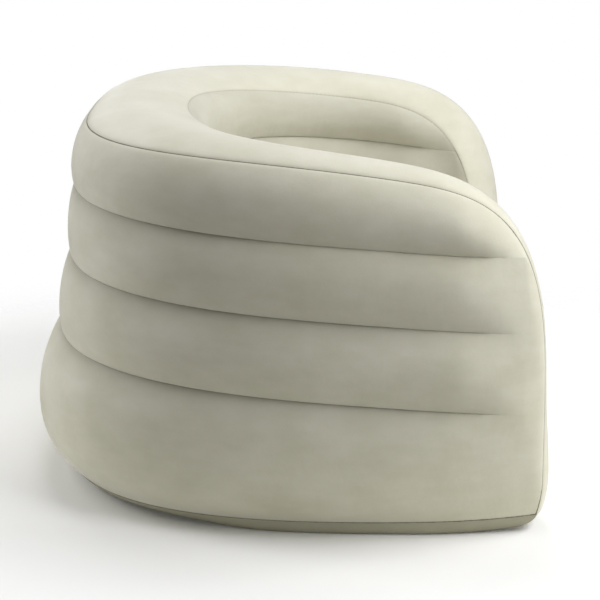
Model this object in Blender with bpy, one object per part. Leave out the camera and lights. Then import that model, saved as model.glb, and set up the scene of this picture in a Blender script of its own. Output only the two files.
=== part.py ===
"""Inflatable sofa: a horseshoe wall and an air seat, welded from thin flocked film.

Metres, +Z up. The front faces -Y, the sofa stands on Z = 0, and the origin is on the
floor under the middle of its box. Each film panel is a thin closed solid. Panels that
are welded edge to edge share one seam line and stop half a seam gap short of it.
"""

import bmesh
import bpy
import numpy as np
from mathutils import Matrix, Vector

# Films, and the gaps between pieces that touch
FLOCKED_FILM = 0.0008
BASE_FILM = 0.0006
WEB_FILM = 0.0005
SEAM_GAP = 0.0004
TOUCH_GAP = 0.0003
WEB_STAND_OFF = 0.0006

# Plan of the wall, at its middle crease
HALF_WIDTH = 0.626
BACK_Y = 0.409
CORNER_Y = -0.245
FRONT_Y = -0.470
TOE_IN = 0.029
OUTER_ROUNDNESS = 2.92

# Outer levels from the top seam down: how far each stands in from that plan
OUTER_SIDE_INSETS = (0.026, 0.001, 0.0, -0.004, 0.010)
OUTER_BACK_INSETS = (0.029, 0.006, -0.005, -0.027, 0.023)

# Heights at the back, and how far each level has come down at the front
TOP_SEAM_HEIGHT = 0.675
TOP_SEAM_FALL = 0.098
CREASE_HEIGHTS = (0.562, 0.428, 0.283)
CREASE_FALLS = (0.062, 0.057, 0.057)
BASE_SEAM_HEIGHT = 0.021
BASE_SEAM_FRONT_RISE = 0.0185
TOP_FALL_POWER = 2.0
CREASE_FALL_POWER = 1.15
BASE_RISE_POWER = 3.0

# Channels of the outer wall, from the top one down
CHANNEL_SIDE_CROWNS = (0.020, 0.018, 0.018, 0.042)
CHANNEL_BACK_CROWNS = (0.022, 0.020, 0.020, 0.069)
FRONT_SWELL = 0.014
CREASE_END_Y = -0.425
CREASE_FADE = 0.150
FRONT_ROLL = 0.100

# Shoulder: the top seam rolls over it and runs down the arm's front
SHOULDER_REACH = 0.284
SHOULDER_DROP = 0.420
SHOULDER_ROUNDNESS = 3.7
SHOULDER_SPLIT_SHARE = 0.926

# Rim panel, over the wall's top and down the arm fronts
RIM_SIDE_WIDTH = 0.157
RIM_BACK_WIDTH = 0.188
RIM_CROWN = 0.038
STRIP_CROWN = 0.034
STRIP_SET_BACK = 0.060
INNER_SEAM_BACK_RISE = 0.010
INNER_SEAM_SIDE_DROP = 0.025

# Inner wall, from the inner seam down
INNER_ROUNDNESS = 2.2
INNER_SIDE_INSETS = (0.0, -0.004, 0.002, 0.010, 0.010)
INNER_BACK_INSETS = (0.0, 0.010, 0.022, 0.030, 0.030)
INNER_CREASE_DROP = 0.010
INNER_CROWNS = (0.020, 0.018, 0.0, 0.0)
INNER_FRONT_SWELL = 0.006

# Seat
SEAT_WELD_HEIGHT = 0.352
SEAT_CROWN = 0.034
SEAT_SET_BACK = 0.0605
SEAT_FRONT_CROWN = 0.036
SEAT_FRONT_ARCH = 0.020
SEAT_CHANNEL_RISE = 0.014
SEAT_WEBS = 3
SEAT_SIDE_POWER = 3
SEAT_PILLOW_POWER = 0.8
SEAT_END_POWER = 6
SEAT_FRONT_POWER = 4
WEB_SIDE_PASSAGE = 0.040

# Base tray: how far it tucks in under its seam
TRAY_TUCK = 0.030

# Air holes low in the inner wall, from the wall's chamber to the seat's
AIR_HOLE_RADIUS = 0.018
AIR_HOLE_HEIGHT = 0.120

# Valve on the back: round pieces about one axis, square to the wall. Heights along
# the axis are measured out from the wall.
VALVE_COLUMN = 3
NECK_BORE_RADIUS = 0.0165
NECK_WALL = 0.0025
NECK_PROUD = 0.0025
NECK_DEPTH = 0.0140
FLANGE_RADIUS = 0.0290
FLANGE_THICKNESS = 0.0015
FLANGE_SET_BACK = 0.0022
GASKET_THICKNESS = 0.0012
COLLAR_RADIUS = 0.0190
COLLAR_THICKNESS = 0.0022
INSERT_BORE_RADIUS = 0.0120
INSERT_LENGTH = 0.0200
INSERT_TAPER = 0.0008
SLIDING_GAP = 0.0004
FLAP_THICKNESS = 0.0010
FLAP_OVERLAP = 0.0016
FLAP_EAR = 0.0010
PLUG_LENGTH = 0.0050
PLUG_CLEARANCE = 0.0009
CAP_RADIUS = 0.0165
CAP_THICKNESS = 0.0024
CAP_TAB_REACH = 0.0225
STRAP_WIDTH = 0.0060
STRAP_THICKNESS = 0.0010
STRAP_HINGE_REACH = 0.0215

# Mesh counts
BACK_COLUMNS = 14
ARM_COLUMNS = 6
ARM_COLUMN_POWER = 1.5
CHANNEL_ROWS = (3, 3, 3, 4)
RIM_ROWS = 6
SEAT_COLUMNS = 12
SEAT_BACK_COLUMNS = 4
SEAT_FRONT_ROWS = 4
TRAY_ROWS = 3
WEB_ROWS = 2
ROUND_STEPS = 32
PATH_STEPS = 2000

QUARTER_TURN = np.pi / 2
SHARP_ANGLE = np.radians(40)


def clear_scene():
    for item in list(bpy.data.objects):
        bpy.data.objects.remove(item, do_unlink=True)


def material(name, colour, roughness, metallic=0.0):
    made = bpy.data.materials.new(name)
    made.use_nodes = True
    shader = made.node_tree.nodes["Principled BSDF"]
    shader.inputs["Base Color"].default_value = (*colour, 1.0)
    shader.inputs["Roughness"].default_value = roughness
    shader.inputs["Metallic"].default_value = metallic
    return made


def unit(vectors):
    length = np.linalg.norm(vectors, axis=-1, keepdims=True)
    return vectors / np.maximum(length, np.finfo(float).tiny)


def smooth_step(share):
    share = np.clip(share, 0, 1)
    return share * share * (3 - 2 * share)


def column_shares():
    """Where the back's columns stand, as shares of the turn from the back's middle
    to the shoulder, at equal steps along the plan of the middle crease."""
    turn = np.linspace(0, QUARTER_TURN, PATH_STEPS)
    x = HALF_WIDTH * np.sin(turn) ** (2 / OUTER_ROUNDNESS)
    y = CORNER_Y + (BACK_Y - CORNER_Y) * np.cos(turn) ** (2 / OUTER_ROUNDNESS)
    reached = np.concatenate([[0], np.cumsum(np.hypot(np.diff(x), np.diff(y)))])
    last = np.interp(-(FRONT_Y + SHOULDER_REACH), -y, reached)
    steps = np.linspace(0, last, BACK_COLUMNS + 1)
    return np.interp(steps, reached, turn) / np.interp(last, reached, turn)


def arm_shares():
    """Where the arm's columns stand, as shares of the shoulder's reach: closer
    together towards the front."""
    steps = np.arange(1, ARM_COLUMNS + 1) / ARM_COLUMNS
    return SHOULDER_SPLIT_SHARE * (1 - (1 - steps) ** ARM_COLUMN_POWER)


def plan_width(y, side, back, front, roundness):
    """Half width of a level's plan: a superellipse round the back, then an arm that
    toes in towards its front."""
    behind = np.clip((y - CORNER_Y) / (back - CORNER_Y), 0, 1)
    ahead = np.clip((CORNER_Y - y) / (CORNER_Y - front), 0, 1)
    return side * (1 - behind**roundness) ** (1 / roundness) - TOE_IN * ahead**2


def half_plan(side, back, front, roundness):
    """Plan points from the back's middle to the shoulder's split, and their outward
    directions."""
    start = front + SHOULDER_REACH
    reach = back - CORNER_Y
    last = np.arccos(((start - CORNER_Y) / reach) ** (roundness / 2))
    turn = last * column_shares()
    x = side * np.sin(turn) ** (2 / roundness)
    y = CORNER_Y + reach * np.cos(turn) ** (2 / roundness)
    along = start - SHOULDER_REACH * arm_shares()
    x = np.concatenate([x, plan_width(along, side, back, front, roundness)])
    y = np.concatenate([y, along])
    run = np.stack([np.gradient(x), np.gradient(y)], axis=-1)
    outward = unit(np.stack([-run[:, 1], run[:, 0]], axis=-1))
    outward[0] = (0, 1)
    return np.stack([x, y], axis=-1), outward


def fall_share(y, power):
    """How far a level has come down at this y: none at the back, all at the front."""
    return np.clip((BACK_Y - y) / (BACK_Y - FRONT_Y), 0, 1) ** power


def shoulder_drop(y, front):
    """Drop of the top seam over the shoulder, a quarter of a superellipse."""
    share = np.clip((front + SHOULDER_REACH - y) / SHOULDER_REACH, 0, 1)
    arc = (1 - share**SHOULDER_ROUNDNESS) ** (1 / SHOULDER_ROUNDNESS)
    return SHOULDER_DROP * (1 - arc)


def top_height(y, front, lift):
    """Height of a top seam whose arm front stands at the given front."""
    fall = TOP_SEAM_FALL * fall_share(y, TOP_FALL_POWER)
    return TOP_SEAM_HEIGHT + lift - fall - shoulder_drop(y, front)


def base_seam_height(y):
    return BASE_SEAM_HEIGHT + BASE_SEAM_FRONT_RISE * fall_share(y, BASE_RISE_POWER)


def crease_height(crease, y):
    fall = CREASE_FALLS[crease] * fall_share(y, CREASE_FALL_POWER)
    return CREASE_HEIGHTS[crease] - fall


def front_edge_y(heights, front, lift):
    """Y of a wall's front edge at each height, down the shoulder and below it."""
    share = np.sin(np.linspace(0, QUARTER_TURN, PATH_STEPS)) ** (2 / SHOULDER_ROUNDNESS)
    y = front + SHOULDER_REACH * (1 - share)
    return np.interp(-heights, -top_height(y, front, lift), y)


def channel_rows():
    """For each row below the top one: its channel, its share of the way down that
    channel, and its share of the crown. Rows gather near the creases."""
    rows = []
    for channel, count in enumerate(CHANNEL_ROWS):
        for step in range(1, count + 1):
            turn = np.pi * step / count
            rows.append((channel, (1 - np.cos(turn)) / 2, np.sin(turn)))
    return rows


def crease_row(crease):
    return sum(CHANNEL_ROWS[: crease + 1])


def level_heights(y, top, bottom, crease_drop, end_y):
    """Heights of every level of a wall at each column. Past the creases' end they
    keep their shares of the shrinking height."""
    creases = [crease_height(crease, y) - crease_drop for crease in range(3)]
    heights = np.stack([top, *creases, bottom], axis=1)
    last = np.flatnonzero(y >= end_y)[-1]
    shares = (heights[last] - bottom[last]) / (top[last] - bottom[last])
    heights[last:] = bottom[last:, None] + shares * (top - bottom)[last:, None]
    return heights


def wall_half(levels, front, roundness, lift, floor, crowns, swell, crease_drop):
    """Half of a wall: columns from the back's middle to the arm's front, by rows
    from the top seam down. The channels swell along the plan's outward direction.
    Their creases fade before the front, where the wall rolls in to its edge."""
    plans = [half_plan(side, back, front, roundness) for side, back in levels]
    plan = np.stack([points for points, _ in plans], axis=1)
    outward = plans[2][1]
    y = plan[:, 0, 1]
    raised = lift(plan[:, 0, 0])
    top, bottom = top_height(y, front, raised), floor(np.append(y[:-1], front))
    end_y = CREASE_END_Y + front - FRONT_Y
    heights = level_heights(y, top, bottom, crease_drop, end_y)
    fade = smooth_step((y - end_y) / CREASE_FADE)
    behind = outward[:, 1] ** 2
    columns = [np.column_stack([plan[:, 0], heights[:, 0]])]
    for channel, down, share in channel_rows():
        flat = plan[:, channel] * (1 - down) + plan[:, channel + 1] * down
        height = heights[:, channel] * (1 - down) + heights[:, channel + 1] * down
        side_crown, back_crown = crowns[0][channel], crowns[1][channel]
        crown = side_crown + (back_crown - side_crown) * behind
        whole = swell * np.sin(np.pi * (top - height) / (top - bottom))
        out = fade * crown * share + (1 - fade) * whole
        columns.append(np.column_stack([flat + outward * out[:, None], height]))
    half = np.stack(columns, axis=1)
    roll_to_front(half, front, raised[-1], plan[-1, -1, 0], bottom[-1])
    return half


def roll_to_front(half, front, lift, foot_x, foot_z):
    """Makes the last column the wall's front edge, and rolls the arm's columns in
    towards it along a quarter round."""
    top_x, top_y, top_z = half[-1, 0]
    height = half[-1, :, 2]
    edge_x = foot_x + (top_x - foot_x) * (height - foot_z) / (top_z - foot_z)
    edge_y = front_edge_y(height, front, lift)
    near = np.clip((front + FRONT_ROLL - half[:, 0, 1]) / FRONT_ROLL, 0, 1)
    roll = 1 - np.sqrt(1 - near**2)
    aside = half[:, :, 0]
    aside[:, 1:] += roll[:, None] * (edge_x[None, 1:] - aside[:, 1:])
    half[-1, :, 0] = edge_x
    half[-1, 1:, 1] = edge_y[1:]


def both_sides(half):
    """The whole wall, from the arm front at -X round the back to the other one."""
    return np.concatenate([(half * (-1, 1, 1))[::-1], half[1:]])


def outer_wall_points():
    sides = [HALF_WIDTH - inset for inset in OUTER_SIDE_INSETS]
    backs = [BACK_Y - inset for inset in OUTER_BACK_INSETS]
    crowns = (CHANNEL_SIDE_CROWNS, CHANNEL_BACK_CROWNS)
    half = wall_half(
        list(zip(sides, backs)),
        FRONT_Y,
        OUTER_ROUNDNESS,
        np.zeros_like,
        base_seam_height,
        crowns,
        FRONT_SWELL,
        0,
    )
    return both_sides(half)


def tray_height(inside):
    """Height of the base tray at a distance inside its front seam."""
    share = np.clip(1 - inside / TRAY_TUCK, 0, 1)
    return base_seam_height(FRONT_Y) * (1 - np.sqrt(1 - share**2))


def inner_wall_points():
    """The inner wall stands the rim's width inside the outer one. Its top seam is
    above the outer one at the back and below it at the arms."""
    seam_side = HALF_WIDTH - OUTER_SIDE_INSETS[0] - RIM_SIDE_WIDTH
    seam_back = BACK_Y - OUTER_BACK_INSETS[0] - RIM_BACK_WIDTH
    front = FRONT_Y + STRIP_SET_BACK
    sides = [seam_side - inset for inset in INNER_SIDE_INSETS]
    backs = [seam_back - inset for inset in INNER_BACK_INSETS]
    crowns = [-crown for crown in INNER_CROWNS]
    drop = INNER_SEAM_BACK_RISE + INNER_SEAM_SIDE_DROP
    half = wall_half(
        list(zip(sides, backs)),
        front,
        INNER_ROUNDNESS,
        lambda x: INNER_SEAM_BACK_RISE - drop * (x / x.max()) ** 2,
        lambda y: BASE_FILM + TOUCH_GAP + tray_height(y - front),
        (crowns, crowns),
        -INNER_FRONT_SWELL,
        INNER_CREASE_DROP,
    )
    return both_sides(half)


def welded_edge(wall):
    """The edge that the rim panel is welded to, from one foot of the arms over the
    top to the other foot."""
    return np.concatenate([wall[0, :0:-1], wall[:, 0], wall[-1, 1:]])


def set_welded_edge(wall, values):
    rows = wall.shape[1] - 1
    wall[0, :0:-1] = values[:rows]
    wall[:, 0] = values[rows : rows + len(wall)]
    wall[-1, 1:] = values[rows + len(wall) :]


def rim_points(outer, inner):
    """The rim panel between the two walls' edges, swollen square to itself. Its crown
    goes from the rim's to the front strip's as the path turns down."""
    start, end = welded_edge(outer), welded_edge(inner)
    end[[0, -1], 2] = base_seam_height(FRONT_Y)
    run = unit(np.gradient(start, axis=0)) + unit(np.gradient(end, axis=0))
    square = unit(np.cross(end - start, run))
    beside = np.pad(square, ((1, 1), (0, 0)), mode="edge")
    square = beside[:-2] + square + beside[2:]
    square[[0, -1], 2] = 0
    square = unit(square)
    crown = STRIP_CROWN + (RIM_CROWN - STRIP_CROWN) * smooth_step(square[:, 2])
    rows = []
    for turn in np.linspace(-QUARTER_TURN, QUARTER_TURN, RIM_ROWS + 1):
        share = (1 + np.sin(turn)) / 2
        swell = crown * 4 * share * (1 - share)
        rows.append(start + (end - start) * share + square * swell[:, None])
    return np.stack(rows, axis=1)


def seat_outline(inner):
    """The seat's edge from the arm front to the back's middle, on its right half: the
    inner wall's seat face at the weld's height, less the gap."""
    half = inner[len(inner) // 2 :][::-1]
    outline = [
        [np.interp(-SEAT_WELD_HEIGHT, -column[:, 2], column[:, axis]) for axis in (0, 1)]
        for column in half
    ]
    run = np.gradient(np.array(outline), axis=0)
    inward = unit(np.stack([-run[:, 1], run[:, 0]], axis=-1))
    inward[-1] = (0, -1)
    return outline + inward * TOUCH_GAP


def web_places(outline):
    """Y of each seat web: they share the seat's depth into equal channels."""
    return np.linspace(FRONT_Y + SEAT_SET_BACK, outline[-1, 1], SEAT_WEBS + 2)[1:-1]


def seat_shares():
    """Where the seat's columns stand, as shares of its half width: closer together
    towards its sides."""
    return np.sin(np.linspace(-QUARTER_TURN, QUARTER_TURN, SEAT_COLUMNS + 1))


def seat_height(share, along):
    """Height of the seat's top, at shares of its half width and of its depth: a crown
    between its edges, and a rise between each two webs."""
    pillow = (1 - np.abs(share) ** SEAT_SIDE_POWER) ** SEAT_PILLOW_POWER
    channel = along * (SEAT_WEBS + 1)
    arch = SEAT_FRONT_ARCH + (SEAT_CROWN - SEAT_FRONT_ARCH) * smooth_step(channel)
    arch = arch * np.sqrt(1 - along**SEAT_END_POWER)
    rise = SEAT_CHANNEL_RISE * np.abs(np.sin(np.pi * channel))
    rise = rise * (1 - np.abs(share) ** SEAT_END_POWER)
    return SEAT_WELD_HEIGHT + (arch + rise) * pillow


def seat_top_points(outline):
    """The seat's top as rows across it, at the inner wall's columns and the webs. The
    last row follows the inner wall round the back."""
    front, back = FRONT_Y + SEAT_SET_BACK, outline[-1, 1]
    turn = len(outline) - 1 - SEAT_BACK_COLUMNS
    places = np.sort([front, *outline[1:turn, 1], *web_places(outline)])
    shares = seat_shares()
    rows = []
    for y in places:
        width = np.interp(y, outline[:, 1], outline[:, 0])
        height = seat_height(shares, (y - front) / (back - front))
        rows.append(np.column_stack([shares * width, np.full_like(shares, y), height]))
    x = shares * outline[turn, 0]
    y = np.interp(-np.abs(x), -outline[:, 0], outline[:, 1])
    rows.append(np.column_stack([x, y, seat_height(shares, 1)]))
    return np.stack(rows)


def seat_front_points(seat, inner):
    """The seat's front, from the seam with its top down to the base seam. Its sides
    follow the inner wall's front edge."""
    shares = seat_shares()
    across = 1 - shares**SEAT_FRONT_POWER
    foot, edge = base_seam_height(FRONT_Y), inner[-1]
    side = seat[0, -1, 0] - np.interp(-SEAT_WELD_HEIGHT, -edge[:, 2], edge[:, 0])
    rows = []
    for turn in np.linspace(0, np.pi, SEAT_FRONT_ROWS + 1):
        down = (1 - np.cos(turn)) / 2
        height = seat[0, :, 2] * (1 - down) + foot * down
        width = np.interp(-height[0], -edge[:, 2], edge[:, 0]) + side
        out = SEAT_FRONT_CROWN * np.sin(turn) + SEAT_FRONT_ARCH * down**2
        y = seat[0, :, 1] - out * across
        rows.append(np.column_stack([shares * width, y, height]))
    return np.stack(rows)


def tray_loop(outer, rim, front):
    """Values along the base seam's closed line: the outer wall's foot, then the arm
    fronts' and the seat front's."""
    return np.concatenate(
        [outer[:, -1], rim[-1, 1:], front[-1, -2:0:-1], rim[0, :0:-1]]
    )


def set_tray_loop(outer, rim, front, values):
    wall_end = len(outer)
    rim_end = wall_end + rim.shape[1] - 1
    front_end = rim_end + front.shape[1] - 2
    outer[:, -1] = values[:wall_end]
    rim[-1, 1:] = values[wall_end:rim_end]
    front[-1, -2:0:-1] = values[rim_end:front_end]
    rim[0, :0:-1] = values[front_end:]


def tray_rings(loop):
    """The base tray's rings from its seam to the floor, and their outward
    directions. Each ring is the seam's plan drawn in about its middle."""
    low, high = loop[:, :2].min(axis=0), loop[:, :2].max(axis=0)
    middle, extent = (low + high) / 2, (high - low) / 2
    run = np.roll(loop, -1, axis=0) - np.roll(loop, 1, axis=0)
    aside = unit(np.stack([-run[:, 1], run[:, 0]], axis=-1))
    rings, outward = [], []
    for turn in np.linspace(0, QUARTER_TURN, TRAY_ROWS + 1):
        drawn = 1 - TRAY_TUCK * (1 - np.cos(turn)) / extent
        plan = middle + (loop[:, :2] - middle) * drawn
        height = (loop[:, 2] - SEAM_GAP / 2) * (1 - np.sin(turn))
        rings.append(np.column_stack([plan, height]))
        down = np.full(len(loop), -np.sin(turn))
        outward.append(np.column_stack([aside * np.cos(turn), down]))
    rings, outward = np.stack(rings), np.stack(outward)
    rings[-1, :, 2] = 0
    outward[-1] = (0, 0, -1)
    return rings, outward


def facing(sheet, side):
    """Outward direction at every point of a sheet: square to its two runs, on the
    side that the sign picks."""
    return side * unit(
        np.cross(np.gradient(sheet, axis=0), np.gradient(sheet, axis=1))
    )


def pulled_back(sheet, *edges):
    """The sheet with the named edges moved back along it by half the seam gap. An
    edge is an axis and an end, 0 or -1."""
    for axis, end in edges:
        moved = np.moveaxis(sheet, axis, 0).copy()
        beside = 1 if end == 0 else -2
        moved[end] += unit(moved[beside] - moved[end]) * SEAM_GAP / 2
        sheet = np.moveaxis(moved, 0, axis)
    return sheet


def tidied(mesh):
    """Joins points that meet, drops faces that closed up, and turns the rest out."""
    shape = bmesh.new()
    shape.from_mesh(mesh)
    bmesh.ops.remove_doubles(shape, verts=shape.verts, dist=SEAM_GAP / 100)
    bmesh.ops.recalc_face_normals(shape, faces=shape.faces)
    shape.to_mesh(mesh)
    shape.free()
    return mesh


def cut_cells(points, cells):
    """Two triangles for each four-cornered cell, cut along its shorter diagonal."""
    first, second, third, fourth = cells.T
    across = np.linalg.norm(points[first] - points[third], axis=-1)
    other = np.linalg.norm(points[second] - points[fourth], axis=-1)
    one_way = np.stack([first, second, third, first, third, fourth], axis=-1)
    other_way = np.stack([first, second, fourth, second, third, fourth], axis=-1)
    return np.where((across <= other)[:, None], one_way, other_way).reshape(-1, 3)


def closed_film(name, sheet, outward, thickness, cells, edge, floor=None):
    """A closed thin solid: a sheet, the same sheet a film's thickness behind it, and
    the strip that joins them along the edge. Both sides are cut into the same
    triangles, so that they never pass through each other."""
    behind = sheet - outward * thickness
    points = np.concatenate([sheet.reshape(-1, 3), behind.reshape(-1, 3)])
    count = len(points) // 2
    triangles = cut_cells(points, cells)
    after = np.roll(edge, -1)
    strip = np.stack([edge, after, after + count, edge + count], axis=-1)
    faces = [*triangles.tolist(), *(triangles[:, ::-1] + count).tolist()]
    faces.extend(strip[:, ::-1].tolist())
    if floor is not None:
        faces.extend([floor.tolist(), (floor[::-1] + count).tolist()])
    mesh = bpy.data.meshes.new(name)
    mesh.from_pydata(points.tolist(), [], faces)
    return tidied(mesh)


def film_mesh(name, sheet, outward, thickness):
    """A film panel between its four edges."""
    index = np.arange(sheet[..., 0].size).reshape(sheet.shape[:2])
    corners = (index[:-1, :-1], index[1:, :-1], index[1:, 1:], index[:-1, 1:])
    cells = np.stack(corners, axis=-1).reshape(-1, 4)
    edge = np.concatenate(
        [index[0, :-1], index[:-1, -1], index[-1, :0:-1], index[:0:-1, 0]]
    )
    return closed_film(name, sheet, outward, thickness, cells, edge)


def tray_mesh(name, rings, outward):
    """The base tray: closed rings from its seam in to a flat floor."""
    index = np.arange(rings[..., 0].size).reshape(rings.shape[:2])
    after = np.roll(index, -1, axis=1)
    corners = (index[:-1], index[1:], after[1:], after[:-1])
    cells = np.stack(corners, axis=-1).reshape(-1, 4)
    return closed_film(name, rings, outward, BASE_FILM, cells, index[0], index[-1])


def add_empty(name, place, turn, parent=None):
    made = bpy.data.objects.new(name, None)
    bpy.context.scene.collection.objects.link(made)
    made.parent = parent
    made.matrix_basis = Matrix.Translation(place) @ turn
    return made


def add_object(name, mesh, finish, parent):
    made = bpy.data.objects.new(name, mesh)
    bpy.context.scene.collection.objects.link(made)
    made.parent = parent
    mesh.materials.append(finish)
    mesh.shade_smooth()
    mesh.set_sharp_from_angle(angle=SHARP_ANGLE)
    return made


def cut_holes(target, places, direction, radius, reach):
    """Cuts round holes of one radius through the target, along one direction."""
    shape = bmesh.new()
    turn = Vector(direction).to_track_quat("Z", "Y").to_matrix().to_4x4()
    for place in places:
        bmesh.ops.create_cone(
            shape,
            cap_ends=True,
            segments=ROUND_STEPS,
            radius1=radius,
            radius2=radius,
            depth=2 * reach,
            matrix=Matrix.Translation(place) @ turn,
        )
    mesh = bpy.data.meshes.new(f"{target.name}_cutter")
    shape.to_mesh(mesh)
    shape.free()
    cutter = bpy.data.objects.new(mesh.name, mesh)
    bpy.context.scene.collection.objects.link(cutter)
    cutter.parent = target.parent
    cutter.hide_render = True
    cutter.display_type = "WIRE"
    cut = target.modifiers.new("holes", "BOOLEAN")
    cut.operation = "DIFFERENCE"
    cut.solver = "EXACT"
    cut.object = cutter


def add_film_panels(outer, rim, inner, seat, front, flock, vinyl, parent):
    """The panels of the skin, and the inner wall. At each seam the panels share one
    outward direction, so that their edges are mitred."""
    rings, ring_out = tray_rings(tray_loop(outer, rim, front))
    outer_out, rim_out = facing(outer, 1), facing(rim, -1)
    inner_out, seat_out, front_out = facing(inner, -1), facing(seat, -1), facing(front, 1)
    shared = unit(welded_edge(outer_out) + rim_out[:, 0])
    set_welded_edge(outer_out, shared)
    rim_out[:, 0] = shared
    shared = unit(welded_edge(inner_out) + rim_out[:, -1])
    set_welded_edge(inner_out, shared)
    rim_out[:, -1] = shared
    shared = unit(seat_out[0] + front_out[0])
    seat_out[0] = front_out[0] = shared
    seat_out[-1] = (0, 0, 1)
    shared = unit(tray_loop(outer_out, rim_out, front_out) + ring_out[0])
    set_tray_loop(outer_out, rim_out, front_out, shared)
    ring_out[0] = shared
    sheets = (
        ("outer_wall_panel", outer, outer_out, ((0, 0), (0, -1), (1, 0), (1, -1))),
        ("rim_panel", rim, rim_out, ((0, 0), (0, -1), (1, 0), (1, -1))),
        ("inner_wall_panel", inner, inner_out, ((0, 0), (0, -1), (1, 0))),
        ("seat_top_panel", seat, seat_out, ((0, 0),)),
        ("seat_front_panel", front, front_out, ((0, 0), (0, -1))),
    )
    made = {}
    for name, sheet, outward, edges in sheets:
        mesh = film_mesh(name, pulled_back(sheet, *edges), outward, FLOCKED_FILM)
        made[name] = add_object(name, mesh, flock, parent)
    add_object("base_panel", tray_mesh("base_panel", rings, ring_out), vinyl, parent)
    return made


def add_wall_webs(outer, inner, web, parent):
    """A level web at each crease, from the outer wall to the inner one. It ends where
    the crease does, and air passes round its ends."""
    for crease in range(3):
        row = crease_row(crease)
        kept = outer[:, row, 1] >= CREASE_END_Y
        start, end = outer[kept, row], inner[kept, row]
        across = unit(end - start) * (FLOCKED_FILM + WEB_STAND_OFF)
        sheet = np.stack([start + across, end - across], axis=1)
        outward = np.zeros_like(sheet)
        outward[..., 2] = 1
        name = f"wall_web_{crease + 1}"
        add_object(name, film_mesh(name, sheet, outward, WEB_FILM), web, parent)


def add_seat_webs(seat, outline, web, parent):
    """Upright webs across the seat, from the base to the seat's top. They stop short
    of the inner wall, and air passes round their ends."""
    foot = BASE_FILM + TOUCH_GAP
    for number, y in enumerate(web_places(outline)):
        row = seat[np.argmin(np.abs(seat[:, 0, 1] - y))]
        kept = row[np.abs(row[:, 0]) <= row[-1, 0] - WEB_SIDE_PASSAGE].copy()
        kept[:, 2] -= FLOCKED_FILM + WEB_STAND_OFF
        rows = []
        for share in np.linspace(0, 1, WEB_ROWS + 1):
            lower = kept.copy()
            lower[:, 2] += (foot - lower[:, 2]) * share
            rows.append(lower)
        sheet = np.stack(rows)
        outward = np.zeros_like(sheet)
        outward[..., 1] = -1
        name = f"seat_web_{number + 1}"
        add_object(name, film_mesh(name, sheet, outward, WEB_FILM), web, parent)


def turned(name, profile):
    """A closed round body: an outline of radius and height turned about Z."""
    shape = bmesh.new()
    points = [shape.verts.new((radius, 0, height)) for radius, height in profile]
    edges = [shape.edges.new(pair) for pair in zip(points, points[1:])]
    if profile[0][0] > 0:
        edges.append(shape.edges.new((points[-1], points[0])))
    bmesh.ops.spin(
        shape,
        geom=points + edges,
        cent=(0, 0, 0),
        axis=(0, 0, 1),
        angle=2 * np.pi,
        steps=ROUND_STEPS,
    )
    mesh = bpy.data.meshes.new(name)
    shape.to_mesh(mesh)
    shape.free()
    return tidied(mesh)


def add_bar(target, low, high):
    """Joins a square bar to the target, between two corners."""
    low, high = Vector(low), Vector(high)
    shape = bmesh.new()
    size = Matrix.Diagonal((*(high - low), 1))
    bmesh.ops.create_cube(shape, size=1, matrix=Matrix.Translation((low + high) / 2) @ size)
    mesh = bpy.data.meshes.new(f"{target.name}_bar")
    shape.to_mesh(mesh)
    shape.free()
    bar = bpy.data.objects.new(mesh.name, mesh)
    bpy.context.scene.collection.objects.link(bar)
    bar.parent = target.parent
    bar.hide_render = True
    bar.display_type = "WIRE"
    joined = target.modifiers.new("bar", "BOOLEAN")
    joined.operation = "UNION"
    joined.solver = "EXACT"
    joined.object = bar


def move_origin(target, place):
    """Puts an object's origin on its joint's axis, and leaves its shape in place."""
    target.data.transform(Matrix.Translation(-Vector(place)))
    target.location = place


def valve_place(outer):
    """Where the valve's axis leaves the wall, and its turn: local Z out of the wall
    and local X level. It sits in the middle of one flat facet of the low channel."""
    column = len(outer) // 2 + VALVE_COLUMN
    row = crease_row(2) + 1
    facet = outer[column : column + 2, row : row + 2]
    level = facet[1].mean(axis=0) - facet[0].mean(axis=0)
    down = facet[:, 1].mean(axis=0) - facet[:, 0].mean(axis=0)
    out = Vector(np.cross(level, down)).normalized()
    aside = Vector((0, 0, 1)).cross(out).normalized()
    up = out.cross(aside)
    turn = Matrix((aside, up, out)).transposed()
    return Vector(facet.mean(axis=(0, 1))), turn


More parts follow.
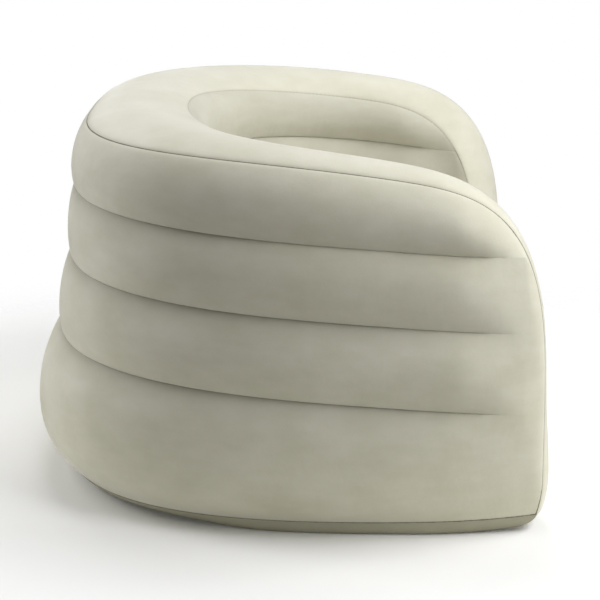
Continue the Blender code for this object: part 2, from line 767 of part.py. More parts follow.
def add_valve(outer, wall, plastic, soft, parent):
    place, turn = valve_place(outer)
    empty = add_empty("valve_axis", place, turn.to_4x4(), parent)
    neck_radius = NECK_BORE_RADIUS + NECK_WALL
    hole_radius = neck_radius + TOUCH_GAP
    cut_holes(wall, [place], turn.col[2], hole_radius, NECK_DEPTH)
    flange_low = -FLANGE_SET_BACK - FLANGE_THICKNESS
    flange = (
        (NECK_BORE_RADIUS, -NECK_DEPTH),
        (neck_radius, -NECK_DEPTH),
        (neck_radius, flange_low),
        (FLANGE_RADIUS, flange_low),
        (FLANGE_RADIUS, -FLANGE_SET_BACK),
        (neck_radius, -FLANGE_SET_BACK),
        (neck_radius, NECK_PROUD),
        (NECK_BORE_RADIUS, NECK_PROUD),
    )
    add_object("valve_flange", turned("valve_flange", flange), plastic, empty)

    gasket_low = NECK_PROUD + TOUCH_GAP
    gasket_high = gasket_low + GASKET_THICKNESS
    gasket = (
        (NECK_BORE_RADIUS, gasket_low),
        (neck_radius, gasket_low),
        (neck_radius, gasket_high),
        (NECK_BORE_RADIUS, gasket_high),
    )
    add_object("valve_gasket", turned("valve_gasket", gasket), soft, empty)

    collar_low = gasket_high + TOUCH_GAP
    collar_high = collar_low + COLLAR_THICKNESS
    barrel_radius = NECK_BORE_RADIUS - SLIDING_GAP
    barrel_low = collar_high - INSERT_LENGTH
    insert = (
        (INSERT_BORE_RADIUS, barrel_low),
        (barrel_radius - INSERT_TAPER, barrel_low),
        (barrel_radius, collar_low),
        (COLLAR_RADIUS, collar_low),
        (COLLAR_RADIUS, collar_high),
        (INSERT_BORE_RADIUS, collar_high),
    )
    body = add_object("valve_insert", turned("valve_insert", insert), plastic, empty)
    half_strap = STRAP_WIDTH / 2
    lug_inner = -(INSERT_BORE_RADIUS + COLLAR_RADIUS) / 2
    lug_outer = -STRAP_HINGE_REACH + TOUCH_GAP
    add_bar(
        body,
        (-half_strap, lug_outer, collar_low + TOUCH_GAP),
        (half_strap, lug_inner, collar_high - TOUCH_GAP),
    )

    flap_high = barrel_low - TOUCH_GAP
    flap_radius = INSERT_BORE_RADIUS + FLAP_OVERLAP
    flap = (
        (0, flap_high - FLAP_THICKNESS),
        (flap_radius, flap_high - FLAP_THICKNESS),
        (flap_radius, flap_high),
        (0, flap_high),
    )
    made = add_object("check_flap", turned("check_flap", flap), soft, empty)
    move_origin(made, (0, flap_radius + FLAP_EAR, flap_high))

    cap_low = collar_high + TOUCH_GAP
    cap_high = cap_low + CAP_THICKNESS
    plug_radius = INSERT_BORE_RADIUS - PLUG_CLEARANCE
    cap = (
        (0, cap_low - PLUG_LENGTH),
        (plug_radius, cap_low - PLUG_LENGTH),
        (plug_radius, cap_low),
        (CAP_RADIUS, cap_low),
        (CAP_RADIUS, cap_high),
        (0, cap_high),
    )
    lid = add_object("valve_cap", turned("valve_cap", cap), plastic, empty)
    hinge = Vector((0, -STRAP_HINGE_REACH, cap_low))
    add_bar(
        lid,
        (-half_strap, hinge.y, cap_low + TOUCH_GAP / 2),
        (half_strap, -plug_radius, cap_low + STRAP_THICKNESS),
    )
    add_bar(
        lid,
        (-half_strap, plug_radius, cap_high - STRAP_THICKNESS),
        (half_strap, CAP_TAB_REACH, cap_high - TOUCH_GAP / 2),
    )
    move_origin(lid, hinge)


def main():
    clear_scene()
    flock = material("flocked_film", (0.500, 0.485, 0.405), 0.92)
    vinyl = material("base_vinyl", (0.260, 0.250, 0.190), 0.70)
    web = material("web_vinyl", (0.700, 0.690, 0.640), 0.45)
    plastic = material("valve_vinyl", (0.420, 0.400, 0.330), 0.40)
    soft = material("soft_vinyl", (0.560, 0.545, 0.480), 0.35)
    outer, inner = outer_wall_points(), inner_wall_points()
    rim = rim_points(outer, inner)
    outline = seat_outline(inner)
    seat = seat_top_points(outline)
    front = seat_front_points(seat, inner)
    reach = np.concatenate([outer[..., 1].ravel(), rim[..., 1].ravel()])
    middle = (reach.max() + reach.min()) / 2
    root = add_empty("sofa", (0, -middle, 0), Matrix())
    made = add_film_panels(outer, rim, inner, seat, front, flock, vinyl, root)
    webs = web_places(outline)
    holes = [(0, y, AIR_HOLE_HEIGHT) for y in (webs[1:] + webs[:-1]) / 2]
    cut_holes(made["inner_wall_panel"], holes, (1, 0, 0), AIR_HOLE_RADIUS, HALF_WIDTH)
    add_wall_webs(outer, inner, web, root)
    add_seat_webs(seat, outline, web, root)
    add_valve(outer, made["outer_wall_panel"], plastic, soft, root)


main()
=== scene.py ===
"""Looks of the inflatable sofa: smooth flocked skins, welded seams, valve, light, camera.

Metres, in the CAD's frame: the front faces -Y, +Z is up, and the sofa stands on Z = 0.
Every skin is a surface computed from the same named sizes as the CAD panel that it
stands for, with the creases, welds and folds that the panel leaves out.
"""

import bpy
import numpy as np
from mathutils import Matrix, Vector

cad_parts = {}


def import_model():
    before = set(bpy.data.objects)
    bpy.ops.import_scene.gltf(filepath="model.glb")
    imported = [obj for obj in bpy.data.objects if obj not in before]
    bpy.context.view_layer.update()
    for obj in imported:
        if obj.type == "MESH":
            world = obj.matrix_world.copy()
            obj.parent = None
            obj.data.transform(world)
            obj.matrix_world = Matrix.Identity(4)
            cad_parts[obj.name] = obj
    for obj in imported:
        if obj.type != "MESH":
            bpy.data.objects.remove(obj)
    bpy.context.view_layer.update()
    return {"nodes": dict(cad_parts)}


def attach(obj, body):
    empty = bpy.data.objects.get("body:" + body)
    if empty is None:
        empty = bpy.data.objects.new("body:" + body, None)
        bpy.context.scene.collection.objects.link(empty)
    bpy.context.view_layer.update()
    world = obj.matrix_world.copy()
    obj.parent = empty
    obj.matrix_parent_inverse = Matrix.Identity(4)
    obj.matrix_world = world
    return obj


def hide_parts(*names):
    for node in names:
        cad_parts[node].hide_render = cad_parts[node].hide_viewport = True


# Plan of the wall, as in the CAD, and the shift of it all along Y. Insets and channels
# go from the top down.
HALF_WIDTH = 0.626
BACK_Y = 0.409
CORNER_Y = -0.245
FRONT_Y = -0.470
TOE_IN = 0.029
OUTER_ROUNDNESS = 2.92
INNER_ROUNDNESS = 2.2
SHIFT_Y = -0.000399
OUTER_SIDE_INSETS = (0.026, 0.001, 0.0, -0.004, 0.0179)
OUTER_BACK_INSETS = (0.029, 0.006, -0.005, -0.027, -0.0185)
INNER_SIDE_INSETS = (0.0, -0.002, 0.004, 0.012, 0.012)
INNER_BACK_INSETS = (0.0, 0.012, 0.024, 0.032, 0.032)

# Heights of the seams and creases, and how far they fall or rise towards the front.
# The inner creases stand rise x (1 - f^2) - drop above the outer ones, with f the share
# of the way to the front.
TOP_SEAM_HEIGHT = 0.676
TOP_SEAM_FALL = 0.0883
TOP_FALL_POWER = 2.61
CREASE_HEIGHTS = (0.562, 0.428, 0.283)
CREASE_FALLS = (0.057, 0.057, 0.057)
CREASE_FALL_POWER = 1.15
BASE_SEAM_HEIGHT = 0.0248
BASE_SEAM_FRONT_RISE = 0.0088
BASE_RISE_POWER = 4.6
INNER_SEAM_BACK_RISE = 0.010
INNER_SEAM_SIDE_DROP = 0.025
INNER_CREASE_RISE = 0.0327
INNER_CREASE_DROP = 0.0114

# Channels: how far they swell at the sides and at the back, how full they are and how
# far they lean down. Each crease fades out over its own length of the arm.
SIDE_CROWNS = (0.031, 0.029, 0.029, 0.0391)
BACK_CROWNS = (0.0142, 0.0087, 0.0112, 0.0506)
SIDE_POWERS = (2.1, 2.1, 2.1, 3.3)
BACK_POWERS = (2.22, 2.16, 2.11, 2.29)
LOW_LEANS = (0.0, 0.0, 0.0, 0.188)
INNER_CROWNS = (-0.026, -0.024, 0.0, 0.0)
INNER_POWERS = (2.1, 2.1, 2.0, 2.0)
FRONT_SWELL = 0.011
INNER_FRONT_SWELL = -0.006
CREASE_END_Y = -0.425
CREASE_FADES = (0.13, 0.12, 0.12, 0.12, 0.42)
FRONT_ROLL = 0.100

# Shoulder, rim, and how the rim's runs are eased along their length
SHOULDER_REACH = 0.284
SHOULDER_DROP = 0.420
SHOULDER_ROUNDNESS = 3.69
SHOULDER_SPLIT_SHARE = 0.926
FOOT_SET_BACK = 0.0094
FOOT_REACH = 0.060
RIM_SIDE_WIDTH = 0.157
RIM_BACK_WIDTH = 0.188
RIM_CROWN = 0.0267
STRIP_CROWN = 0.0212
LOW_STRIP_CROWN = 0.0177
LOW_STRIP_HEIGHT = 0.300
LOW_STRIP_REACH = 0.220
RIM_POWER = 2.07
RIM_LEAN = -0.056
STRIP_SET_BACK = 0.060
RIM_SMOOTHINGS = 14
EASED_EDGE = 0.12
EASED_REACH = 0.018
EASED_STEPS = 13

# Seat and base
SEAT_WELD_HEIGHT = 0.352
SEAT_CROWN = 0.034
SEAT_SET_BACK = 0.0605
SEAT_FRONT_CROWN = 0.036
SEAT_FRONT_ARCH = 0.020
SEAT_CHANNEL_RISE = 0.014
SEAT_TURN_SHARE = 0.62
SEAT_WEBS = 3
SEAT_SIDE_POWER = 3
SEAT_PILLOW_POWER = 0.8
SEAT_END_POWER = 6
SEAT_FRONT_POWER = 4
TRAY_TUCK = 0.014
TRAY_BACK_TUCK = 0.0817
TRAY_FRONT_TUCK = 0.0778
TRAY_TUCK_REACH = 0.350
TRAY_FRONT_START = -0.100
FLOOR_GAP = 0.0009

# Folds: how the film stands out beside its welds, less at the wall's foot and front
# edge, how the lip above a crease sags, how the creases are lost towards the front, and
# the small puckers across them
PUFF = 0.003
PUFF_WIDTH = 0.0048
FOOT_PUFF_REACH = 0.060
FRONT_PUFF_START = 0.004
LIP_SAG = 0.0028
LIP_WIDTH = 0.008
FOLD_FADE = 0.080
FOLD_LOST = 0.040
PUCKER_DEPTH = 0.0003
PUCKER_REACH = 0.012
PUCKER_PITCHES = (0.021, 0.033, 0.052, 0.085)

# Painted shade below each crease, from Y = its end back, and painted highlight on the lip above
# it
UNDER_SHADE_ENDS = (-0.06, -0.36, -0.40)
UNDER_SHADE_FADE = 0.200
UNDER_SHADE_WIDTH = 0.018
LIP_LIGHT_WIDTH = 0.0035

# Weld beads: width, height, how far sunk, and seed. Their teeth drift along them, and
# their width is uneven.
OUTER_BEAD = (0.0015, 0.0009, 0.0003, 5)
INNER_BEAD = (0.0007, 0.0006, 0.0003, 6)
BASE_BEAD = (0.0009, 0.0009, 0.0002, 7)
SEAT_BEAD = (0.0008, 0.0007, 0.0002, 8)
VALVE_BEAD = (0.0006, 0.0003, 0, 9)
BEAD_STEP = 0.0016
BEAD_SIDES = 8
TOOTH_PITCH = 0.0095
TOOTH_WIDENING = 0.45
TOOTH_DRIFT = 0.004
DRIFT_PITCHES = (0.13, 0.31, 0.07)
BEAD_UNEVENNESS = 0.3
UNEVEN_PITCHES = (0.05, 0.023)

# Valve axis, as at the valve's joints, and the flat place for it on the wall
VALVE_PLACE = (0.264215, 0.458554, 0.197035)
VALVE_OUT = (0.206521, 0.978038, 0.028134)
VALVE_UP = (-0.005812, -0.027527, 0.999604)
VALVE_COLUMN_SHARE = 0.25
VALVE_DOWN_SHARE = 0.323
VALVE_FLAT_RADIUS = 0.031
VALVE_BLEND_RADIUS = 0.085
VALVE_BLEND_DEPTH = 0.05
VALVE_HOLE_RADIUS = 0.0193
VALVE_HOLE_DEPTH = 0.01

# Valve, in metres out from its axis and out of the wall
NECK_BORE_RADIUS = 0.0165
NECK_RADIUS = 0.0190
NECK_LOW = -0.0140
NECK_HIGH = 0.0025
FLANGE_RADIUS = 0.0290
FLANGE_LOW = -0.0037
FLANGE_HIGH = -0.0022
GASKET_LOW = 0.0028
GASKET_HIGH = 0.0040
COLLAR_RADIUS = 0.0190
COLLAR_LOW = 0.0043
COLLAR_HIGH = 0.0065
BARREL_RADIUS = 0.0161
BARREL_TAPER = 0.0008
BARREL_LOW = -0.0135
INSERT_BORE_RADIUS = 0.0120
LUG_LOW = 0.0046
LUG_HIGH = 0.0062
LUG_OUTER = -0.0212
LUG_INNER = -0.0155
FLAP_RADIUS = 0.0136
FLAP_LOW = -0.0148
FLAP_HIGH = -0.0138
PLUG_RADIUS = 0.0111
PLUG_LOW = 0.0018
CAP_RADIUS = 0.0165
CAP_LOW = 0.0068
CAP_HIGH = 0.0092
CAP_DISH_RADIUS = 0.0140
CAP_DISH_DEPTH = 0.0006
CAP_DISH_SLOPE = 0.0008
TAB_INNER = 0.0150
TAB_OUTER = 0.0225
TAB_LOW = 0.0082
TAB_HIGH = 0.00905
STRAP_OUTER = -0.0215
STRAP_INNER = -0.0150
STRAP_LOW = 0.00695
STRAP_HIGH = 0.0078
STRAP_HALF_WIDTH = 0.003
GRIP_PLACES = (0.0184, 0.0198, 0.0212)
GRIP_HALF_WIDTH = 0.0021
GRIP_HALF_LENGTH = 0.0003
GRIP_RISE = 0.0003
EDGE_ROUNDING = 0.0004
PLATE_ROUNDING = 0.0025
ROUNDED_SHARE = 0.45
VALVE_WELD_RADII = (0.0208, 0.0284)

# Flock: light and dark colour, its sheen, each noise (waves a metre, detail, roughness,
# stretch) with what it adds, and the painted shade and painted highlight beside the
# welds and creases
FLOCKS = {
    "velvet_flock": ((0.675, 0.657, 0.56), (0.55, 0.532, 0.415)),
    # The inside's copy: the same flock made darker, as painted shade inside the arms and seat
    "velvet_flock_inside_painted_shade": ((0.582, 0.567, 0.482), (0.464, 0.449, 0.356)),
}
FLOCK_ROUGHNESS = 0.92
FLOCK_SHEEN = {
    "Sheen_Weight": 0.55,
    "Sheen_Roughness": 0.42,
    "Sheen_Tint": (1.0, 1.0, 1.0, 1.0),
    "Specular_IOR_Level": 0.12,
}
PATCHES, PATCH_GAIN = (7.5, 4.0, 0.55, (1, 1, 1.5)), 1.5
STREAKS, STREAK_GAIN = (30.0, 3.0, 0.5, (0.5, 0.5, 1.7)), 0.55
SPECKLE, SPECKLE_GAIN = (620.0, 2.0, 0.6), 0.5
NAP, NAP_HEIGHT = (900.0, 2.0, 0.65), 0.28
DENTS, DENT_HEIGHT = (55.0, 2.0, 0.5), 0.6
TEETH_WIDTH, TEETH_HEIGHT = 0.004, 0.5
NAP_BUMP = (0.0011, 0.75)
NAP_ROUGHNESS, LEAST_ROUGHNESS = 0.12, 0.84
FOLD_SHADE_WIDTH, FOLD_SHADE = 0.0012, 0.15
SEAM_SHADE_WIDTH, SEAM_SHADE, TOOTH_SHADE = 0.0014, 0.1, 0.3
UNDER_SHADE = 0.46
SHADE_BRIGHTNESS = 0.35
LIP_LIGHT, LIP_LIGHT_COLOUR = 0.35, (0.86, 0.84, 0.72)

# Plain vinyls: shine, how cloudy their colour is, their grain, and for each its light
# and dark colour, roughness, grain in waves a metre and its depth
VINYL_SHINE, VINYL_ROUGHNESS_SPREAD = 0.4, 0.2
CLOUDS, CLOUD_SHARE = (18.0, 3.0), 0.7
GRAIN_DETAIL, GRAIN_ROUGHNESS = 3.0, 0.6
VINYLS = {
    "weld_line": ((0.21, 0.20, 0.155), (0.13, 0.125, 0.09), 0.7, 900.0, 0.0002),
    "pale_weld_line": ((0.47, 0.455, 0.37), (0.37, 0.36, 0.28), 0.7, 900.0, 0.0002),
    "base_film": ((0.40, 0.385, 0.295), (0.31, 0.30, 0.225), 0.6, 420.0, 0.0003),
    "valve_plastic": ((0.50, 0.485, 0.41), (0.44, 0.425, 0.355), 0.36, 1400.0, 0.00006),
    "valve_soft": ((0.60, 0.585, 0.52), (0.54, 0.525, 0.46), 0.32, 900.0, 0.00005),
    "web_film": ((0.72, 0.71, 0.66), (0.64, 0.63, 0.58), 0.42, 420.0, 0.0001),
}

# Camera, in metres, millimetres and radians: the photograph's viewpoint
CAMERA_PLACE = (-4.0601, -0.0988, 1.3054)
CAMERA_LENS = 123.6
CAMERA_SENSOR = 36.0
CAMERA_REACH = 100.0
CAMERA_YAW, CAMERA_PITCH = 0.0171, 0.2474

# Studio: the world's light, the floor, what it gives back and where it fades out, and
# the lamps with their place, aim, size and power
AMBIENT = 0.01
AMBIENT_COLOUR = (1.0, 0.97, 0.86, 1.0)
FLOOR_COLOURS = ((0.94, 0.94, 0.935), (0.96, 0.96, 0.955))
FLOOR_BOUNCE = (0.70, 0.69, 0.62)
FLOOR_CLOUDS = (2.0, 2.0)
FLOOR_ROUGHNESS, FLOOR_SHINE = 0.8, 0.1
FLOOR_HALF_SIZE = 8.0
FLOOR_RADIUS = 0.74
FLOOR_FADE = 0.75
MIDDLE, FRONT_AIM = (0, 0, 0.3), (-0.25, -0.35, 0.35)
BACK_AIM, BACK_EDGE_AIM = (-0.2, 0.2, 0.35), (-0.1, 0.3, 0.35)
LAMPS = (
    ("overhead_far", (1.2, 0.2, 3.0), MIDDLE, (1.8, 1.8), 41.0),
    ("overhead_near", (-0.7, 0.2, 3.2), MIDDLE, (1.8, 1.8), 7.0),
    ("front_high", (-0.3, -2.2, 2.3), FRONT_AIM, (1.2, 1.2), 42.0),
    ("front_far", (0.8, -2.3, 1.2), FRONT_AIM, (1.2, 1.2), 11.0),
    ("front_side", (-1.6, -2.0, 1.0), FRONT_AIM, (1.2, 1.2), 12.0),
    ("front_side_high", (-1.6, -1.6, 2.3), FRONT_AIM, (1.2, 1.2), 22.0),
    ("front_side_low", (-1.4, -2.1, 0.35), FRONT_AIM, (1.2, 0.5), 9.0),
    ("back_edge", (0.3, 2.5, 1.3), BACK_EDGE_AIM, (1.0, 1.0), 24.0),
    ("back_high", (0.5, 2.0, 2.2), BACK_EDGE_AIM, (1.0, 1.0), 10.0),
    ("back_floor", (-0.9, 2.3, 0.3), BACK_AIM, (1.2, 0.5), 12.0),
    ("fill_low", (-3.2, 0.2, 0.4), MIDDLE, (2.0, 0.6), 8.5),
)

# Mesh counts, and how much closer the rows and columns are where the shape bends most
BACK_COLUMNS = 130
ARM_COLUMNS = 70
CHANNEL_ROWS = (34, 34, 34, 50)
RIM_ROWS = 44
SEAT_COLUMNS = 130
SEAT_ROWS = 130
SEAT_FRONT_ROWS = 50
TRAY_ROWS = 10
PATH_STEPS = 4000
TURN_STEPS = 96
ROUND_STEPS = 5
CHUNK = 3000
VALVE_COLUMN_WEIGHT, VALVE_COLUMN_REACH = 4.0, 0.03
CREASE_ROW_WEIGHT, VALVE_ROW_WEIGHT, ROW_REACH = 5.0, 2.0, 0.06
WEB_ROW_WEIGHT, WEB_ROW_REACH = 2.0, 0.02

QUARTER_TURN = np.pi / 2
LEAST_LENGTH, LEAST_SQUARE = 1e-12, 1e-18
TENTHS_IN_METRE = 10000


def unit(vectors):
    """Vectors divided by their length."""
    length = np.linalg.norm(vectors, axis=-1, keepdims=True)
    return vectors / np.maximum(length, LEAST_LENGTH)


def smooth_step(share):
    """0 to 1 along 3s^2 - 2s^3."""
    share = np.clip(share, 0, 1)
    return share * share * (3 - 2 * share)


def spread(count, places, weights, width):
    """Shares from 0 to 1, closer together near the places: equal steps of the running
    sum of 1 + weight x exp(-((t - place) / width)^2)."""
    fine = np.linspace(0, 1, PATH_STEPS)
    density = np.ones_like(fine)
    for place, weight in zip(places, weights):
        density += weight * np.exp(-(((fine - place) / width) ** 2))
    total = np.concatenate([[0], np.cumsum((density[1:] + density[:-1]) / 2)])
    return np.interp(np.linspace(0, total[-1], count + 1), total, fine)


def column_shares():
    """Columns of the back as shares of the turn from its middle to the shoulder, by
    arc length along the plan x = sin(t)^(2/n), y = cos(t)^(2/n)."""
    turn = np.linspace(0, QUARTER_TURN, PATH_STEPS)
    x = HALF_WIDTH * np.sin(turn) ** (2 / OUTER_ROUNDNESS)
    y = CORNER_Y + (BACK_Y - CORNER_Y) * np.cos(turn) ** (2 / OUTER_ROUNDNESS)
    reached = np.concatenate([[0], np.cumsum(np.hypot(np.diff(x), np.diff(y)))])
    last = np.interp(-(FRONT_Y + SHOULDER_REACH), -y, reached)
    weights = (VALVE_COLUMN_WEIGHT,)
    steps = spread(BACK_COLUMNS, (VALVE_COLUMN_SHARE,), weights, VALVE_COLUMN_REACH) * last
    return np.interp(steps, reached, turn) / np.interp(last, reached, turn)


def plan_width(y, side, back, front, roundness):
    """Half width: side x (1 - b^n)^(1/n), less the toe-in x a^2, with b and a the
    shares of the way from the corner to the back and to the front."""
    behind = np.clip((y - CORNER_Y) / (back - CORNER_Y), 0, 1)
    ahead = np.clip((CORNER_Y - y) / (CORNER_Y - front), 0, 1)
    return side * (1 - behind**roundness) ** (1 / roundness) - TOE_IN * ahead**2


def fall_share(y, power):
    """Share of the way from back to front, to a power."""
    return np.clip((BACK_Y - y) / (BACK_Y - FRONT_Y), 0, 1) ** power


def shoulder_drop(y, front):
    """Drop of the top seam over the shoulder, a quarter of a superellipse."""
    share = np.clip((front + SHOULDER_REACH - y) / SHOULDER_REACH, 0, 1)
    arc = (1 - share**SHOULDER_ROUNDNESS) ** (1 / SHOULDER_ROUNDNESS)
    return SHOULDER_DROP * (1 - arc)


def top_height(y, front, lift):
    """Height of a top seam whose arm front stands at the given front."""
    fall = TOP_SEAM_FALL * fall_share(y, TOP_FALL_POWER)
    return TOP_SEAM_HEIGHT + lift - fall - shoulder_drop(y, front)


def base_seam_height(y):
    """The base seam rises by its front rise times a power of the way to the front."""
    return BASE_SEAM_HEIGHT + BASE_SEAM_FRONT_RISE * fall_share(y, BASE_RISE_POWER)


def front_edge_y(heights, front, lift):
    """Y of a wall's front edge at each height, down the shoulder and below it, where
    its foot is set back by a parabola."""
    share = np.sin(np.linspace(0, QUARTER_TURN, PATH_STEPS)) ** (2 / SHOULDER_ROUNDNESS)
    y = front + SHOULDER_REACH * (1 - share)
    low = np.clip(1 - (heights - base_seam_height(FRONT_Y)) / FOOT_REACH, 0, 1)
    return np.interp(-heights, -top_height(y, front, lift), y) + FOOT_SET_BACK * low**2


def channel_rows():
    """Each row's channel and share of the way down it, closer together at the creases
    and at the valve."""
    channels, downs = [np.zeros(1, int)], [np.zeros(1)]
    for channel, count in enumerate(CHANNEL_ROWS):
        valve = VALVE_ROW_WEIGHT if channel == len(CHANNEL_ROWS) - 1 else 0.0
        weights = (CREASE_ROW_WEIGHT, CREASE_ROW_WEIGHT, valve)
        down = spread(count, (0, 1, VALVE_DOWN_SHARE), weights, ROW_REACH)
        channels.append(np.full(count, channel))
        downs.append(down[1:])
    return np.concatenate(channels), np.concatenate(downs)


def smoothed(values, share):
    """Values down a wall with only the first three sine waves of how they stand off
    the straight line between their ends."""
    straight = values[0] + (values[-1] - values[0]) * share
    wave = np.sin(np.pi * np.outer(share, (1, 2, 3)))
    return straight + wave @ np.linalg.lstsq(wave, values - straight, rcond=None)[0]


def wall(sides, backs, front, roundness, lift, floor, crowns, powers, leans, swell, rise):
    """A wall from the arm front at -X round the back to the other one, as columns by
    rows. Each channel swells outward by its crown times (1 - |u|^p) (1 + lean x u),
    where u goes from -1 to 1 down it. The creases stand a rise above the outer wall's.
    They fade towards the front, where the wall swells as a whole along a half sine and
    rolls in to its edge along a quarter round."""
    channel, down = channel_rows()
    side = sides[channel] * (1 - down) + sides[channel + 1] * down
    back = backs[channel] * (1 - down) + backs[channel + 1] * down
    start = front + SHOULDER_REACH
    reach = back - CORNER_Y
    last = np.arccos(((start - CORNER_Y) / reach) ** (roundness / 2))
    turn = last[None] * column_shares()[:, None]
    x_back = side * np.sin(turn) ** (2 / roundness)
    y_back = CORNER_Y + reach * np.cos(turn) ** (2 / roundness)

    steps = np.sin(np.linspace(0, QUARTER_TURN, ARM_COLUMNS + 1)[1:])
    y_top = start - SHOULDER_REACH * SHOULDER_SPLIT_SHARE * steps
    y_low = start - SHOULDER_REACH * steps
    end_y = CREASE_END_Y + front - FRONT_Y
    along = np.concatenate([y_back[:, 0], y_top])
    x_top = plan_width(y_top, sides[0], backs[0], front, roundness)
    wide = np.concatenate([x_back[:, 0], x_top])
    raised = lift(wide)
    top = top_height(along, front, raised)
    bottom = floor(np.concatenate([y_back[:, 0], y_low]))
    levels = [top]
    for crease in range(3):
        fall = CREASE_FALLS[crease] * fall_share(along, CREASE_FALL_POWER)
        levels.append(CREASE_HEIGHTS[crease] - fall + rise(along))
    levels = np.stack([*levels, bottom], axis=1)
    end = np.flatnonzero(along >= end_y)[-1]
    shares = (levels[end] - bottom[end]) / (top[end] - bottom[end])
    levels[end:] = bottom[end:, None] + shares * (top - bottom)[end:, None]
    height = levels[:, channel] * (1 - down) + levels[:, channel + 1] * down

    edge_y = front_edge_y(height[-1], front, raised[-1])
    edge_y[0] = y_top[-1]
    ahead = np.clip((y_top[-1] - edge_y) / (y_top[-1] - y_low[-1]), 0, 1)
    y_arm = y_top[:, None] + (y_low - y_top)[:, None] * ahead
    downward = (height[-1, 0] - height[-1]) / (height[-1, 0] - height[-1, -1])
    plain = smoothed(side, downward)
    side_arm = plain + (side - plain) * smooth_step((y_arm - front) / (end_y - front))
    x_arm = plan_width(y_arm, side_arm, back, front, roundness)
    x, y = np.concatenate([x_back, x_arm]), np.concatenate([y_back, y_arm])

    middle = CHANNEL_ROWS[0] + CHANNEL_ROWS[1]
    run = np.stack([np.gradient(x[:, middle]), np.gradient(y[:, middle])], axis=-1)
    outward = unit(np.stack([-run[:, 1], run[:, 0]], axis=-1))
    outward[0] = (0, 1)
    behind = outward[:, 1:] ** 2
    fades = np.array(CREASE_FADES)
    fades = fades[channel] * (1 - down) + fades[channel + 1] * down
    fade = smooth_step((y - end_y) / fades)
    crown = crowns[0][channel] + (crowns[1] - crowns[0])[channel] * behind
    power = powers[0][channel] + (powers[1] - powers[0])[channel] * behind
    profile = (1 - np.abs(2 * down - 1) ** power) * (1 + leans[channel] * (2 * down - 1))
    whole = swell * np.sin(np.pi * (top[:, None] - height) / (top - bottom)[:, None])
    out = fade * crown * profile + (1 - fade) * whole
    swollen_x, swollen_y = x + outward[:, :1] * out, y + outward[:, 1:] * out

    low = np.concatenate([y_back[:, 0], y_low])
    near = np.clip((front + FRONT_ROLL - low) / FRONT_ROLL, 0, 1)
    roll = (1 - np.sqrt(1 - near**2))[:, None]
    foot_x = plan_width(np.array(front), sides[-1], backs[-1], front, roundness)
    foot_z, above = bottom[-1], height[-1] - bottom[-1]
    edge_x = foot_x + (swollen_x[-1, 0] - foot_x) * above / (height[-1, 0] - foot_z)
    rolled = swollen_x[:, :1] + edge_x - edge_x[0]
    swollen_x = swollen_x + roll * (rolled - swollen_x)
    swollen_y = swollen_y + roll * (y - swollen_y)
    half = np.stack([swollen_x, swollen_y, height], axis=-1)
    return np.concatenate([(half * (-1, 1, 1))[::-1], half[1:]]) + (0, SHIFT_Y, 0)


def outer_wall():
    """The outer wall's sheet."""
    return wall(
        HALF_WIDTH - np.array(OUTER_SIDE_INSETS),
        BACK_Y - np.array(OUTER_BACK_INSETS),
        FRONT_Y,
        OUTER_ROUNDNESS,
        np.zeros_like,
        base_seam_height,
        np.array((SIDE_CROWNS, BACK_CROWNS)),
        np.array((SIDE_POWERS, BACK_POWERS)),
        np.array(LOW_LEANS),
        FRONT_SWELL,
        np.zeros_like,
    )


def tray_height(inside):
    """Height of the base at a distance inside its front seam, a quarter round."""
    share = np.clip(1 - inside / (TRAY_TUCK + TRAY_FRONT_TUCK), 0, 1)
    return base_seam_height(FRONT_Y) * (1 - np.sqrt(1 - share**2))


def inner_wall():
    """The inner wall's sheet, the rim's width inside the outer one."""
    front = FRONT_Y + STRIP_SET_BACK
    rise = INNER_SEAM_BACK_RISE + INNER_SEAM_SIDE_DROP
    return wall(
        HALF_WIDTH - OUTER_SIDE_INSETS[0] - RIM_SIDE_WIDTH - np.array(INNER_SIDE_INSETS),
        BACK_Y - OUTER_BACK_INSETS[0] - RIM_BACK_WIDTH - np.array(INNER_BACK_INSETS),
        front,
        INNER_ROUNDNESS,
        lambda x: INNER_SEAM_BACK_RISE - rise * (x / x.max()) ** 2,
        lambda y: FLOOR_GAP + tray_height(y - front),
        np.array((INNER_CROWNS, INNER_CROWNS)),
        np.array((INNER_POWERS, INNER_POWERS)),
        np.zeros(len(CHANNEL_ROWS)),
        INNER_FRONT_SWELL,
        lambda y: INNER_CREASE_RISE * (1 - fall_share(y, 2)) - INNER_CREASE_DROP,
    )


def welded_edge(sheet):
    """The edge that the rim is welded to, from one foot of the arms to the other."""
    return np.concatenate([sheet[0, :0:-1], sheet[:, 0], sheet[-1, 1:]])


def eased(sheet, share):
    """Every run along the sheet averaged over a short reach of its own length, by a
    smooth step of the share of the way in from the two edges, which stay."""
    kept = smooth_step(np.minimum(share, 1 - share) / EASED_EDGE)
    done = sheet.copy()
    for row in np.flatnonzero(kept):
        line, length = sheet[:, row], running(sheet[:, row])
        places = length[:, None] + EASED_REACH * np.linspace(-1, 1, EASED_STEPS)
        mean = read_at(places, length, line).mean(axis=1)
        done[1:-1, row] += kept[row] * (mean - line)[1:-1]
    return done


